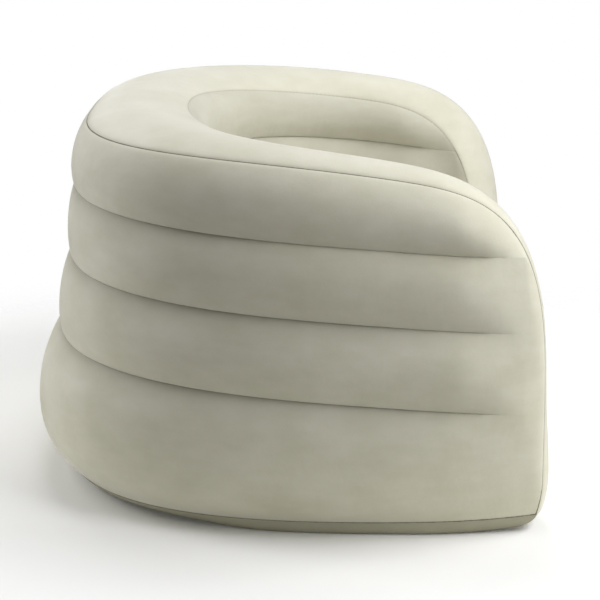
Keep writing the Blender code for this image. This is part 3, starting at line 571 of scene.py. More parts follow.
def rim_sheet(outer, inner):
    """The rim between two welded edges: start + (end - start) x s, swollen along its
    own square direction by its crown x (1 - |2s - 1|^p) x (1 + lean x (2s - 1))."""
    start, end = welded_edge(outer), welded_edge(inner).copy()
    end[[0, -1], 2] = base_seam_height(FRONT_Y)
    run = unit(np.gradient(start, axis=0)) + unit(np.gradient(end, axis=0))
    square = unit(np.cross(end - start, run))
    for _ in range(RIM_SMOOTHINGS):
        beside = np.pad(square, ((1, 1), (0, 0)), mode="edge")
        square = unit(beside[:-2] + 2 * square + beside[2:])
    square[[0, -1], 2] = 0
    square = unit(square)
    crown = STRIP_CROWN + (RIM_CROWN - STRIP_CROWN) * smooth_step(square[:, 2])
    low = smooth_step((LOW_STRIP_HEIGHT - start[:, 2]) / LOW_STRIP_REACH)
    crown = crown + LOW_STRIP_CROWN * low
    turn = np.linspace(-QUARTER_TURN, QUARTER_TURN, RIM_ROWS + 1)
    share = (1 + np.sin(turn)) / 2
    profile = (1 - np.abs(2 * share - 1) ** RIM_POWER) * (1 + RIM_LEAN * (2 * share - 1))
    swell = crown[:, None] * profile
    flat = start[:, None] + (end - start)[:, None] * share[:, None]
    return eased(flat + square[:, None] * swell[..., None], share)


def seat_outline(inner):
    """The seat's edge on its right half, from the arm front to the back's middle."""
    half = inner[len(inner) // 2 :][::-1]
    places = [
        [np.interp(-SEAT_WELD_HEIGHT, -column[:, 2], column[:, axis]) for axis in (0, 1)]
        for column in half
    ]
    return np.array(places)


def seat_height(share, along):
    """Height of the seat's top: a crown between its edges and a rise between webs,
    both times (1 - |s|^p)^q across it."""
    pillow = (1 - np.abs(share) ** SEAT_SIDE_POWER) ** SEAT_PILLOW_POWER
    channel = along * (SEAT_WEBS + 1)
    arch = SEAT_FRONT_ARCH + (SEAT_CROWN - SEAT_FRONT_ARCH) * smooth_step(channel)
    arch = arch * np.sqrt(np.clip(1 - along**SEAT_END_POWER, 0, 1))
    rise = SEAT_CHANNEL_RISE * np.abs(np.sin(np.pi * channel))
    rise = rise * (1 - np.abs(share) ** SEAT_END_POWER)
    return SEAT_WELD_HEIGHT + (arch + rise) * pillow


def seat_sheet(outline):
    """The seat's top as rows across it: straight ones, then ones that bend into the
    curve of the back. Also gives each point's distance to the nearest web's crease."""
    front, back = FRONT_Y + SEAT_SET_BACK + SHIFT_Y, outline[-1, 1]
    turn_y = np.interp(SEAT_TURN_SHARE, (0, 1), (front, back))
    webs = np.linspace(0, 1, SEAT_WEBS + 2)
    share = np.sin(np.linspace(-QUARTER_TURN, QUARTER_TURN, SEAT_COLUMNS + 1))
    along = spread(SEAT_ROWS, webs, np.full(len(webs), WEB_ROW_WEIGHT), WEB_ROW_REACH)
    y = front + (back - front) * along
    rows = []
    last_width = np.interp(turn_y, outline[:, 1], outline[:, 0])
    curve = np.interp(-np.abs(share * last_width), -outline[:, 0], outline[:, 1])
    for place, at in zip(y, along):
        bend = np.clip((place - turn_y) / (back - turn_y), 0, 1)
        width = np.interp(min(place, turn_y), outline[:, 1], outline[:, 0])
        depth = min(place, turn_y) + (curve - turn_y) * bend
        rows.append(np.column_stack([share * width, depth, seat_height(share, at)]))
    web = np.clip(np.round(along * (SEAT_WEBS + 1)), 1, SEAT_WEBS)
    gap = (back - front) * np.abs(along - web / (SEAT_WEBS + 1))
    return np.stack(rows), np.repeat(gap, SEAT_COLUMNS + 1)


def seat_front_sheet(seat, inner):
    """The seat's front, from its seam with the top down to the base seam, between the
    inner wall's front edges. It swells by sin(t) + an arch x d^2, less s^4 across."""
    share = np.sin(np.linspace(-QUARTER_TURN, QUARTER_TURN, SEAT_COLUMNS + 1))
    across = 1 - share**SEAT_FRONT_POWER
    foot, edge = base_seam_height(FRONT_Y), inner[-1]
    side = seat[0, -1, 0] - np.interp(-SEAT_WELD_HEIGHT, -edge[:, 2], edge[:, 0])
    rows = []
    for turn in np.linspace(0, np.pi, SEAT_FRONT_ROWS + 1):
        down = (1 - np.cos(turn)) / 2
        height = seat[0, :, 2] * (1 - down) + foot * down
        width = np.interp(-height[0], -edge[:, 2], edge[:, 0]) + side
        out = SEAT_FRONT_CROWN * np.sin(turn) + SEAT_FRONT_ARCH * down**2
        rows.append(np.column_stack([share * width, seat[0, :, 1] - out * across, height]))
    return np.stack(rows)


def tray_sheet(loop):
    """The base's rings, from its seam to the floor: its plan drawn in by the tuck
    times 1 - cos(t), at the seam's height times 1 - sin(t). The tuck is longer at the
    back and, fore and aft only, at the front."""
    low, high = loop[:, :2].min(axis=0), loop[:, :2].max(axis=0)
    middle, extent = (low + high) / 2, (high - low) / 2
    behind = smooth_step(loop[:, 1] / TRAY_TUCK_REACH)
    ahead = smooth_step((TRAY_FRONT_START - loop[:, 1]) / TRAY_TUCK_REACH)
    tuck = np.full((len(loop), 2), TRAY_TUCK) + TRAY_BACK_TUCK * behind[:, None]
    tuck[:, 1] += TRAY_FRONT_TUCK * ahead
    rings = []
    for turn in np.linspace(0, QUARTER_TURN, TRAY_ROWS + 1):
        drawn = 1 - tuck * (1 - np.cos(turn)) / extent
        plan = middle + (loop[:, :2] - middle) * drawn
        rings.append(np.column_stack([plan, loop[:, 2] * (1 - np.sin(turn))]))
    return np.stack(rings)


def facing(sheet, side):
    """Outward direction at every point: square to the sheet's two runs."""
    return side * unit(np.cross(np.gradient(sheet, axis=0), np.gradient(sheet, axis=1)))


def running(line):
    """Length along a line up to each of its points."""
    steps = np.linalg.norm(np.diff(line, axis=0), axis=1)
    return np.concatenate([[0], np.cumsum(steps)])


def read_at(places, length, values):
    """A line's points, or values of its points, at places along its length."""
    return np.stack([np.interp(places, length, values[:, k]) for k in range(3)], axis=-1)


def nearest(points, line):
    """Distance from each point to a line, and the length along the line there. The
    nearest corner is found first, then the nearest place on its two runs."""
    length = running(line)
    found = []
    for start in range(0, len(points), CHUNK):
        part = points[start : start + CHUNK]
        gap = part[:, None] - line[None]
        found.append(np.einsum("ijk,ijk->ij", gap, gap).argmin(axis=1))
    corner = np.concatenate(found)
    best = np.full(len(points), np.inf)
    place = np.zeros(len(points))
    for first in (np.clip(corner - 1, 0, len(line) - 2), np.clip(corner, 0, len(line) - 2)):
        run = line[first + 1] - line[first]
        size = np.maximum((run * run).sum(axis=1), LEAST_SQUARE)
        share = np.clip(((points - line[first]) * run).sum(axis=1) / size, 0, 1)
        away = np.linalg.norm(points - line[first] - run * share[:, None], axis=1)
        closer = away < best
        best[closer] = away[closer]
        at = length[first] + share * np.sqrt(size)
        place[closer] = at[closer]
    return best, place


def waves(place, pitches, seed):
    """A smooth uneven wave from -1 to 1 along a length: sines of several pitches,
    each with its own random phase."""
    random = np.random.default_rng(seed)
    total = np.zeros_like(place)
    for pitch in pitches:
        total += np.sin(2 * np.pi * place / pitch + random.uniform(0, 2 * np.pi))
    return total / len(pitches)


def puffed(sheet, outward, seams, creases, rows, ended, share=1.0):
    """The sheet standing out beside its welds by puff x (1 - exp(-gap / width)), with
    each crease lost towards the front and its upper lip sagging by sag x r exp(1 - r),
    with r = gap / width. Also gives the gap to the nearest weld, the gap to the nearest
    seam and the length along it, and how much painted shade below a crease and painted
    highlight above one a point gets."""
    shape = sheet.shape[:2]
    points = sheet.reshape(-1, 3)
    row = np.broadcast_to(np.arange(shape[1]), shape).ravel()
    lost = FOLD_LOST * (1 - smooth_step((points[:, 1] - ended) / FOLD_FADE))
    seam_gap, seam_at = np.full(len(points), 1.0), np.zeros(len(points))
    for line in seams:
        gap, at = nearest(points, line)
        closer = gap < seam_gap
        seam_gap[closer], seam_at[closer] = gap[closer], at[closer]
    fold_gap = seam_gap.copy()
    sag, pucker, under, lit = (np.zeros(len(points)) for _ in range(4))
    for number, (line, edge, count) in enumerate(zip(creases, rows, CHANNEL_ROWS)):
        gap, at = nearest(points, line)
        above = (row < edge) & (row > edge - count)
        lip = (gap / LIP_WIDTH) * np.exp(1 - gap / LIP_WIDTH)
        kept = (1 - lost / FOLD_LOST) ** 2
        sag += np.where(above, LIP_SAG * lip * kept, 0)
        # Painted highlight on the lip above the crease
        lit += np.where(above, np.exp(-gap / LIP_LIGHT_WIDTH) * kept, 0)
        gap = gap + lost
        fold_gap = np.minimum(fold_gap, gap)
        # Painted shade below the crease, fading out towards the crease's front end
        beyond = (points[:, 1] - UNDER_SHADE_ENDS[number]) / UNDER_SHADE_FADE
        depth = np.exp(-gap / UNDER_SHADE_WIDTH) * smooth_step(beyond)
        under += np.where((row >= edge) & (row < edge + CHANNEL_ROWS[number + 1]), depth, 0)
        near = (gap / PUCKER_REACH) * np.exp(1 - gap / PUCKER_REACH)
        pucker += PUCKER_DEPTH * waves(at, PUCKER_PITCHES, number) * near
    moved = PUFF * (1 - np.exp(-fold_gap / PUFF_WIDTH)) * share + pucker
    done = sheet + outward * moved.reshape(shape)[..., None]
    done[..., 2] -= sag.reshape(shape)
    values = {
        "fold_gap": fold_gap,
        "seam_gap": seam_gap,
        "seam_place": seam_at,
        "painted_shade_under_crease": under,
        "painted_highlight_above_crease": lit,
    }
    return done, values


def numbered(grid):
    """Point numbers of a grid of points, as rows."""
    return np.arange(grid[..., 0].size).reshape(grid.shape[:2])


def sheet_faces(sheet, flip=False):
    """The sheet's four-cornered faces, by point number."""
    index = numbered(sheet)
    corners = (index[:-1, :-1], index[1:, :-1], index[1:, 1:], index[:-1, 1:])
    faces = np.stack(corners, axis=-1).reshape(-1, 4)
    return (faces[:, ::-1] if flip else faces).tolist()


def tube_faces(index, flip=False):
    """Four-cornered faces between rows of point numbers that close on themselves."""
    aside = np.roll(index, -1, axis=1)
    corners = (index[:-1], index[1:], aside[1:], aside[:-1])
    if flip:
        corners = (index[:-1], aside[:-1], aside[1:], index[1:])
    return np.stack(corners, axis=-1).reshape(-1, 4).tolist()


def add_mesh(name, points, faces, finish, values=None):
    """A smooth mesh object at the origin, with float values on its points."""
    mesh = bpy.data.meshes.new(name)
    mesh.from_pydata(points.tolist(), [], faces)
    mesh.materials.append(finish)
    mesh.shade_smooth()
    for key, numbers in (values or {}).items():
        layer = mesh.attributes.new(key, "FLOAT", "POINT")
        layer.data.foreach_set("value", np.ascontiguousarray(numbers, np.float32).ravel())
    made = bpy.data.objects.new(name, mesh)
    bpy.context.scene.collection.objects.link(made)
    return made


def valve_frame():
    """Origin and rows of the valve's own axes: level, up and out."""
    out, up = np.array(VALVE_OUT), np.array(VALVE_UP)
    return np.array(VALVE_PLACE), np.stack([np.cross(up, out), up, out])


def flattened_at_valve(sheet):
    """The sheet laid flat round the valve: its height over the valve's plane times a
    smooth step of the distance from the axis."""
    place, axes = valve_frame()
    local = (sheet - place) @ axes.T
    radius = np.hypot(local[..., 0], local[..., 1])
    near = (radius < VALVE_BLEND_RADIUS) & (np.abs(local[..., 2]) < VALVE_BLEND_DEPTH)
    share = (radius - VALVE_FLAT_RADIUS) / (VALVE_BLEND_RADIUS - VALVE_FLAT_RADIUS)
    share = smooth_step(share)
    local[..., 2] = np.where(near, local[..., 2] * share, local[..., 2])
    return local @ axes + place


def cut_for_valve(points, faces):
    """Points and faces with a round hole at the valve: faces within the hole go, and
    the corners left round it move onto its edge."""
    place, axes = valve_frame()
    faces, local = np.array(faces), (points - place) @ axes.T
    radius = np.hypot(local[:, 0], local[:, 1])
    within = (radius < VALVE_HOLE_RADIUS) & (np.abs(local[:, 2]) < VALVE_HOLE_DEPTH)
    gone = within[faces].any(axis=1)
    edge = np.intersect1d(faces[gone].ravel(), faces[~gone].ravel())
    local[edge, :2] *= (VALVE_HOLE_RADIUS / radius[edge])[:, None]
    return local @ axes + place, faces[~gone].tolist()


def add_bead(name, line, outward, finish, width, height, sink, seed):
    """A weld bead: an oval tube along a line. Its width is multiplied by 1 + widening x
    a saw tooth of the length along it, and by 1 + unevenness x a slow wave."""
    length = running(line)
    steps = np.arange(0, length[-1], BEAD_STEP)
    centre, square = read_at(steps, length, line), unit(read_at(steps, length, outward))
    along = unit(np.gradient(centre, axis=0))
    aside = unit(np.cross(along, square))
    drift = waves(steps, DRIFT_PITCHES, seed) * TOOTH_DRIFT
    tooth = ((steps + drift) / TOOTH_PITCH) % 1.0
    uneven = 1 + BEAD_UNEVENNESS * waves(steps, UNEVEN_PITCHES, seed + 1)
    wide = width * (1 + TOOTH_WIDENING * tooth) * uneven
    turn = np.linspace(0, 2 * np.pi, BEAD_SIDES, endpoint=False)
    rings = (
        centre[:, None]
        - square[:, None] * sink
        + aside[:, None] * (wide[:, None] * np.cos(turn))[..., None]
        + square[:, None] * (height * np.sin(turn))[None, :, None]
    )
    index = numbered(rings)
    faces = tube_faces(index) + [index[0].tolist(), index[-1, ::-1].tolist()]
    made = add_mesh(name, rings.reshape(-1, 3), faces, finish)
    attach(made, "sofa")


def rounded(corners, radius, closed=True):
    """An outline whose corners c are rounded along a (1 - t)^2 + 2 c t (1 - t) + b t^2,
    with a and b a radius from the corner. Open outlines keep their two ends."""
    corners = np.array(corners, float)
    share = np.linspace(0, 1, ROUND_STEPS)[:, None]
    parts = []
    for number, corner in enumerate(corners):
        if not closed and number in (0, len(corners) - 1):
            parts.append(corner[None])
            continue
        sides = corners[[number - 1, (number + 1) % len(corners)]] - corner
        longest = ROUNDED_SHARE * np.linalg.norm(sides, axis=1)
        reach = np.minimum(radius, longest)[:, None]
        start, end = corner + unit(sides) * reach
        curve = start * (1 - share) ** 2 + 2 * corner * share * (1 - share) + end * share**2
        parts.append(curve)
    return np.concatenate(parts)


def turned(*levels):
    """A round body: its rounded outline turned about the axis. At each level's height
    the outline goes from one radius to the other. It is a ring unless it starts on the
    axis, where it is then closed at both ends."""
    solid = levels[0][1] == 0
    corners = [(radius, height) for height, *radii in levels for radius in radii]
    profile = rounded(corners, EDGE_ROUNDING, not solid)
    turn = np.linspace(0, 2 * np.pi, TURN_STEPS, endpoint=False)
    ring = np.stack([np.cos(turn), np.sin(turn), np.ones_like(turn)], axis=-1)
    rim = profile[1:-1] if solid else profile
    points = (rim[:, None][..., [0, 0, 1]] * ring).reshape(-1, 3)
    index = np.arange(len(points)).reshape(len(rim), TURN_STEPS)
    if not solid:
        return points, tube_faces(np.concatenate([index, index[:1]]), True)
    faces, aside = tube_faces(index, True), np.roll(index, -1, axis=1)
    low, high = len(points), len(points) + 1
    points = np.concatenate([points, [(0, 0, profile[0, 1]), (0, 0, profile[-1, 1])]])
    faces += [[low, b, a] for a, b in zip(index[0].tolist(), aside[0].tolist())]
    faces += [[high, a, b] for a, b in zip(index[-1].tolist(), aside[-1].tolist())]
    return points, faces


def plate(half_width, start, end, low, high, corner=EDGE_ROUNDING, edge=EDGE_ROUNDING):
    """A flat bar along Y with rounded corners and edges: its outline drawn in by
    edge x (1 - sin(t)) at heights edge x (1 - cos(t)) inside its faces."""
    right, left = half_width, -half_width
    outline = rounded([(left, start), (right, start), (right, end), (left, end)], corner)
    run = np.roll(outline, -1, axis=0) - np.roll(outline, 1, axis=0)
    out = unit(np.stack([run[:, 1], -run[:, 0]], axis=-1))
    turns = np.linspace(0, QUARTER_TURN, ROUND_STEPS)
    insets = np.concatenate([1 - np.sin(turns), 1 - np.sin(turns[::-1])]) * edge
    rises = edge * (1 - np.cos(turns))
    heights = np.concatenate([low + rises, high - rises[::-1]])
    plan = outline[None] - out[None] * insets[:, None, None]
    levels = np.broadcast_to(heights[:, None, None], (*plan.shape[:2], 1))
    points = np.concatenate([plan, levels], axis=-1)
    index = numbered(plan)
    ends = [index[0, ::-1].tolist(), index[-1].tolist()]
    return points.reshape(-1, 3), tube_faces(index, True) + ends


def add_valve_piece(node, body, slot, finish, *solids):
    """One piece of the valve, from closed solids in the valve's own axes."""
    place, axes = valve_frame()
    points, faces = [], []
    for spots, rings in solids:
        before = sum(len(part) for part in points)
        points.append(spots @ axes + place)
        faces += [[before + corner for corner in ring] for ring in rings]
    made = add_mesh(f"{node}_fine", np.concatenate(points), faces, finish)
    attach(made, body)
    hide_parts(node)


def add_valve(plastic, soft):
    """The valve's neck, gasket, insert, flap and cap, with rounded edges."""
    neck = turned(
        (NECK_LOW, NECK_BORE_RADIUS, NECK_RADIUS),
        (FLANGE_LOW, NECK_RADIUS, FLANGE_RADIUS),
        (FLANGE_HIGH, FLANGE_RADIUS, NECK_RADIUS),
        (NECK_HIGH, NECK_RADIUS, NECK_BORE_RADIUS),
    )
    gasket = turned(
        (GASKET_LOW, NECK_BORE_RADIUS, NECK_RADIUS),
        (GASKET_HIGH, NECK_RADIUS, NECK_BORE_RADIUS),
    )
    insert = turned(
        (BARREL_LOW, INSERT_BORE_RADIUS, BARREL_RADIUS - BARREL_TAPER),
        (COLLAR_LOW, BARREL_RADIUS, COLLAR_RADIUS),
        (COLLAR_HIGH, COLLAR_RADIUS, INSERT_BORE_RADIUS),
    )
    lug = plate(STRAP_HALF_WIDTH, LUG_OUTER, LUG_INNER, LUG_LOW, LUG_HIGH)
    flap = turned((FLAP_LOW, 0, FLAP_RADIUS), (FLAP_HIGH, FLAP_RADIUS, 0))
    cap = turned(
        (PLUG_LOW, 0, PLUG_RADIUS),
        (CAP_LOW, PLUG_RADIUS, CAP_RADIUS),
        (CAP_HIGH, CAP_RADIUS, CAP_DISH_RADIUS),
        (CAP_HIGH - CAP_DISH_DEPTH, CAP_DISH_RADIUS - CAP_DISH_SLOPE, 0),
    )
    strap = plate(STRAP_HALF_WIDTH, STRAP_OUTER, STRAP_INNER, STRAP_LOW, STRAP_HIGH)
    tab = plate(STRAP_HALF_WIDTH, TAB_INNER, TAB_OUTER, TAB_LOW, TAB_HIGH, PLATE_ROUNDING)
    grips = []
    for place in GRIP_PLACES:
        start, end = place - GRIP_HALF_LENGTH, place + GRIP_HALF_LENGTH
        top = TAB_HIGH + GRIP_RISE
        grips.append(plate(GRIP_HALF_WIDTH, start, end, TAB_LOW, top, GRIP_RISE, GRIP_RISE))
    add_valve_piece("valve_flange", "sofa", "valve_vinyl", plastic, neck)
    add_valve_piece("valve_gasket", "insert", "soft_vinyl", soft, gasket)
    add_valve_piece("valve_insert", "insert", "valve_vinyl", plastic, insert, lug)
    add_valve_piece("check_flap", "flap", "soft_vinyl", soft, flap)
    add_valve_piece("valve_cap", "cap", "valve_vinyl", plastic, cap, strap, tab, *grips)


def add_valve_weld(radius, finish):
    """One round weld line on the wall about the valve, named by its radius in tenths
    of a millimetre."""
    place, axes = valve_frame()
    turn = np.linspace(0, 2 * np.pi, TURN_STEPS + 1)
    ring = np.stack([radius * np.cos(turn), radius * np.sin(turn), 0 * turn], axis=-1)
    line, out = ring @ axes + place, np.broadcast_to(axes[2], (TURN_STEPS + 1, 3))
    name = f"valve_weld_{round(radius * TENTHS_IN_METRE)}"
    add_bead(name, line, out, finish, *VALVE_BEAD)


class Term:
    """One output of a material's nodes. Arithmetic on terms adds Math nodes."""

    def __init__(self, tree, socket):
        self.tree = tree
        self.socket = socket

    def node(self, kind, inputs, output=0, **settings):
        """A new node of this tree, with its inputs set or linked."""
        made = self.tree.nodes.new(kind)
        for key, value in settings.items():
            setattr(made, key, value)
        for key, value in inputs.items():
            if isinstance(value, Term):
                self.tree.links.new(made.inputs[key], value.socket)
            else:
                made.inputs[key].default_value = value
        return Term(self.tree, made.outputs[output])

    def maths(self, operation, *others):
        terms = dict(enumerate((self, *others)))
        return self.node("ShaderNodeMath", terms, operation=operation)

    def __add__(self, other):
        return self.maths("ADD", other)

    def __sub__(self, other):
        return self.maths("SUBTRACT", other)

    def __mul__(self, other):
        return self.maths("MULTIPLY", other)

    def __truediv__(self, other):
        return self.maths("DIVIDE", other)

    def __rsub__(self, other):
        return self * -1.0 + other

    def faded(self, width):
        """exp(-self / width)."""
        return (self * (-1.0 / width)).maths("EXPONENT")

    def noise(self, scale, detail=2.0, roughness=0.5, stretch=(1, 1, 1)):
        """Noise of this position, 0 to 1, at so many waves a metre."""
        place = self.node("ShaderNodeVectorMath", {0: self, 1: stretch}, operation="MULTIPLY")
        inputs = {"Vector": place, "Scale": scale, "Detail": detail, "Roughness": roughness}
        return self.node("ShaderNodeTexNoise", inputs)

    def mixed(self, low, high):
        """A colour between two, by this share. Sockets 6 and 7 are a mix's colours."""
        low, high = (part if isinstance(part, Term) else (*part, 1.0) for part in (low, high))
        settings = {"data_type": "RGBA", "clamp_factor": True}
        return self.node("ShaderNodeMix", {0: self, 6: low, 7: high}, 2, **settings)

    def attribute(self, name):
        return self.node("ShaderNodeAttribute", {}, output=2, attribute_name=name)


def new_material(name, roughness, **constants):
    """A material, its shader, and its object position as a term."""
    made = bpy.data.materials.new(name)
    made.use_nodes = True
    tree = made.node_tree
    shader = tree.nodes["Principled BSDF"]
    shader.inputs["Roughness"].default_value = roughness
    for key, value in constants.items():
        shader.inputs[key.replace("_", " ")].default_value = value
    place = Term(tree, tree.nodes.new("ShaderNodeTexCoord").outputs["Object"])
    return made, shader, place


def linked(shader, key, term):
    term.tree.links.new(shader.inputs[key], term.socket)


def bumped(shader, term, distance, strength=1.0):
    inputs = {"Height": term, "Distance": distance, "Strength": strength}
    linked(shader, "Normal", term.node("ShaderNodeBump", inputs))


def flock_material(name, light, dark):
    """Flocked film: short nap brushed one way or the other in patches, with painted shade
    where it folds into a weld and below a crease, and a painted highlight along the lip
    above one."""
    made, shader, place = new_material(name, FLOCK_ROUGHNESS, **FLOCK_SHEEN)
    share = (place.noise(*PATCHES) - 0.5) * PATCH_GAIN
    share += (place.noise(*STREAKS) - 0.5) * STREAK_GAIN
    share += (place.noise(*SPECKLE) - 0.5) * SPECKLE_GAIN + 0.5
    # Painted highlight along the lip above each crease
    lit = place.attribute("painted_highlight_above_crease") * LIP_LIGHT
    colour = lit.mixed(share.mixed(dark, light), LIP_LIGHT_COLOUR)
    seam = place.attribute("seam_gap")
    tooth = (place.attribute("seam_place") / TOOTH_PITCH).maths("FRACT")
    # Painted shade in the fold beside each weld and crease, deeper at each tooth of a seam, and
    # below each crease
    shade = place.attribute("fold_gap").faded(FOLD_SHADE_WIDTH) * FOLD_SHADE
    shade += seam.faded(SEAM_SHADE_WIDTH) * (tooth * TOOTH_SHADE + SEAM_SHADE)
    shade += place.attribute("painted_shade_under_crease") * UNDER_SHADE
    shaded = shade.mixed(colour, tuple(SHADE_BRIGHTNESS * part for part in dark))
    linked(shader, "Base Color", shaded)
    nap = place.noise(*NAP)
    teeth = tooth * seam.faded(TEETH_WIDTH) * TEETH_HEIGHT
    bumped(shader, nap * NAP_HEIGHT + place.noise(*DENTS) * DENT_HEIGHT + teeth, *NAP_BUMP)
    linked(shader, "Roughness", nap * NAP_ROUGHNESS + LEAST_ROUGHNESS)
    return made


def vinyl_material(name, light, dark, roughness, grain, depth):
    """Plain vinyl: slightly uneven colour and a fine embossed grain."""
    made, shader, place = new_material(name, roughness, Specular_IOR_Level=VINYL_SHINE)
    fine = place.noise(grain, GRAIN_DETAIL, GRAIN_ROUGHNESS)
    share = place.noise(*CLOUDS) * CLOUD_SHARE + fine * (1 - CLOUD_SHARE)
    linked(shader, "Base Color", share.mixed(dark, light))
    bumped(shader, fine, depth)
    least = roughness - VINYL_ROUGHNESS_SPREAD / 2
    linked(shader, "Roughness", fine * VINYL_ROUGHNESS_SPREAD + least)
    return made


def add_light(name, place, target, size, strength):
    """A soft rectangular lamp aimed at a point."""
    lamp = bpy.data.lights.new(name, "AREA")
    lamp.shape = "RECTANGLE"
    lamp.size, lamp.size_y = size
    lamp.energy = strength
    made = bpy.data.objects.new(name, lamp)
    made.location = place
    aim = Vector(target) - Vector(place)
    made.rotation_euler = aim.to_track_quat("-Z", "Y").to_euler()
    bpy.context.scene.collection.objects.link(made)


def add_camera():
    """The photograph's viewpoint."""
    lens = bpy.data.cameras.new("camera")
    lens.lens = CAMERA_LENS
    lens.sensor_width = CAMERA_SENSOR
    lens.clip_end = CAMERA_REACH
    made = bpy.data.objects.new("camera", lens)
    level, down = np.cos(CAMERA_PITCH), np.sin(CAMERA_PITCH)
    ahead = (level * np.cos(CAMERA_YAW), level * np.sin(CAMERA_YAW), -down)
    made.location = CAMERA_PLACE
    made.rotation_euler = Vector(ahead).to_track_quat("-Z", "Y").to_euler()
    bpy.context.scene.collection.objects.link(made)
    bpy.context.scene.camera = made


def add_stage():
    """Pale floor, a white world for the camera and a dim one for the light, lamps."""
    looks = {"Specular_IOR_Level": FLOOR_SHINE}
    made, shader, place = new_material("studio_floor", FLOOR_ROUGHNESS, **looks)
    pale = place.noise(*FLOOR_CLOUDS).mixed(*FLOOR_COLOURS)
    seen = place.node("ShaderNodeLightPath", {}, output=0)
    linked(shader, "Base Color", seen.mixed(FLOOR_BOUNCE, pale))
    away = place.node("ShaderNodeVectorMath", {0: place}, output=1, operation="LENGTH")
    fade = ((away - FLOOR_RADIUS) / FLOOR_FADE).maths("MAXIMUM", 0.0).maths("MINIMUM", 1.0)
    linked(shader, "Alpha", 1.0 - fade * fade * (3.0 - fade * 2.0))
    corners = np.array([(-1, -1, 0), (1, -1, 0), (1, 1, 0), (-1, 1, 0)]) * FLOOR_HALF_SIZE
    floor = add_mesh("studio_floor", corners, [[0, 1, 2, 3]], made)

    world = bpy.data.worlds.new("studio")
    bpy.context.scene.world = world
    world.use_nodes = True
    tree = world.node_tree
    tree.nodes.clear()
    path = Term(tree, tree.nodes.new("ShaderNodeLightPath").outputs["Is Camera Ray"])
    dim = path.node("ShaderNodeBackground", {"Color": AMBIENT_COLOUR, "Strength": AMBIENT})
    white = path.node("ShaderNodeBackground", {"Color": (1, 1, 1, 1), "Strength": 1.0})
    both = path.node("ShaderNodeMixShader", {0: path, 1: dim, 2: white})
    out = tree.nodes.new("ShaderNodeOutputWorld")
    tree.links.new(out.inputs["Surface"], both.socket)

    for lamp in LAMPS:
        add_light(*lamp)


def add_skin(node, points, faces, finish, values=None):
    """The skin of a panel's node, as a padded piece of the sofa."""
    skin = add_mesh(node.replace("panel", "skin"), points.reshape(-1, 3), faces, finish, values)
    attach(skin, "sofa")
    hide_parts(node)


def add_walls(outer, inner, rim, flock, inside):
    """The two walls and the rim between them, with their folds."""
    edges = np.cumsum(CHANNEL_ROWS)[:3]
    ended = CREASE_END_Y + SHIFT_Y
    inner_ended = ended + STRIP_SET_BACK
    creases = [outer[outer[:, row, 1] > ended, row] for row in edges]
    inner_creases = [inner[inner[:, row, 1] > inner_ended, row] for row in edges[:2]]
    seams, inner_seams = [welded_edge(outer), outer[:, -1]], [welded_edge(inner)]
    above_foot = smooth_step((outer[..., 2] - outer[:, -1:, 2]) / FOOT_PUFF_REACH)
    behind_front = outer[..., 1] - outer[0, :, 1] + FRONT_PUFF_START
    share = (above_foot * smooth_step(behind_front / FRONT_ROLL)).ravel()
    above_seat = smooth_step((inner[..., 2] - SEAT_WELD_HEIGHT) / SEAT_CROWN).ravel()

    outer, values = puffed(outer, facing(outer, 1), seams, creases, edges, ended, share)
    points = flattened_at_valve(outer).reshape(-1, 3)
    points, faces = cut_for_valve(points, sheet_faces(outer))
    add_skin("outer_wall_panel", points, faces, flock, values)
    rim, values = puffed(rim, facing(rim, -1), [seams[0], *inner_seams], [], [], ended)
    add_skin("rim_panel", rim, sheet_faces(rim, True), flock, values)
    inner, values = puffed(
        inner, facing(inner, -1), inner_seams, inner_creases, edges, inner_ended, above_seat
    )
    # The inner wall's darker flock is painted shade
    add_skin("inner_wall_panel", inner, sheet_faces(inner, True), inside, values)


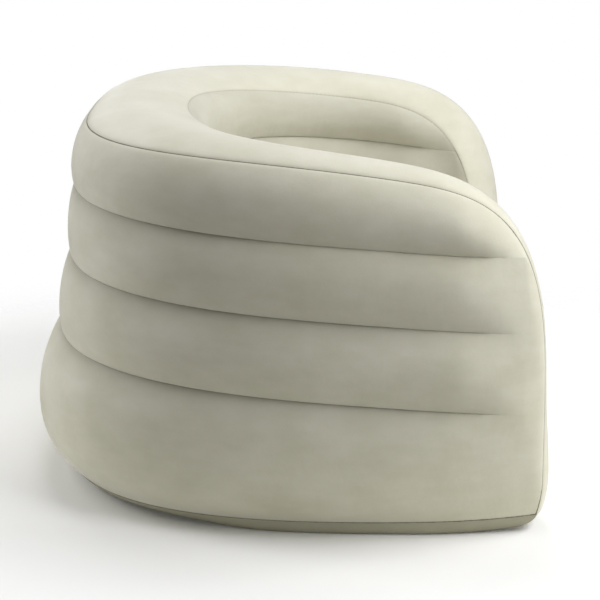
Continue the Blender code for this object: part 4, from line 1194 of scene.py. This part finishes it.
def add_sofa(finishes):
    """Every skin and weld bead of the sofa, but for its valve's pieces."""
    flock, inside = finishes["velvet_flock"], finishes["velvet_flock_inside_painted_shade"]
    weld, pale_weld = finishes["weld_line"], finishes["pale_weld_line"]
    outer, inner = outer_wall(), inner_wall()
    rim = rim_sheet(outer, inner)
    seat, web_gap = seat_sheet(seat_outline(inner))
    front = seat_front_sheet(seat, inner)
    loop = np.concatenate([outer[:, -1], rim[-1, 1:], front[-1, -2:0:-1], rim[0, :0:-1]])
    tray = tray_sheet(loop)

    add_walls(outer, inner, rim, flock, inside)
    gap, at = nearest(seat.reshape(-1, 3), seat[0])
    values = {"fold_gap": np.minimum(gap, web_gap), "seam_gap": gap, "seam_place": at}
    add_skin("seat_top_panel", seat, sheet_faces(seat, True), flock, values)
    gap, at = nearest(front.reshape(-1, 3), seat[0])
    values = {"fold_gap": gap, "seam_gap": gap, "seam_place": at}
    add_skin("seat_front_panel", front, sheet_faces(front), flock, values)
    index = numbered(tray)
    faces = tube_faces(index) + [index[-1, ::-1].tolist()]
    add_skin("base_panel", tray, faces, finishes["base_film"])

    rim_out = facing(rim, -1)
    outer_out = unit(welded_edge(facing(outer, 1)) + rim_out[:, 0])
    inner_out = unit(welded_edge(facing(inner, -1)) + rim_out[:, -1])
    run = np.roll(loop, -1, axis=0) - np.roll(loop, 1, axis=0)
    loop_out = unit(np.stack([-run[:, 1], run[:, 0], 0 * run[:, 0]], axis=-1))
    closed, closed_out = (np.concatenate([part, part[:1]]) for part in (loop, loop_out))
    seat_out = unit(facing(seat, -1)[0] + facing(front, 1)[0])
    add_bead("outer_seam_weld", welded_edge(outer), outer_out, weld, *OUTER_BEAD)
    add_bead("inner_seam_weld", welded_edge(inner), inner_out, pale_weld, *INNER_BEAD)
    add_bead("base_seam_weld", closed, closed_out, weld, *BASE_BEAD)
    add_bead("seat_seam_weld", seat[0], seat_out, pale_weld, *SEAT_BEAD)
    for radius in VALVE_WELD_RADII:
        add_valve_weld(radius, pale_weld)


def main():
    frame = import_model()
    add_camera()
    add_stage()
    finishes = {name: flock_material(name, *colours) for name, colours in FLOCKS.items()}
    finishes |= {name: vinyl_material(name, *looks) for name, looks in VINYLS.items()}
    add_sofa(finishes)
    add_valve(finishes["valve_plastic"], finishes["valve_soft"])
    for name, node in frame["nodes"].items():
        if "web" in name:
            for slot in node.material_slots:
                slot.material = finishes["web_film"]

    bpy.context.scene.view_settings.view_transform = "Standard"


main()
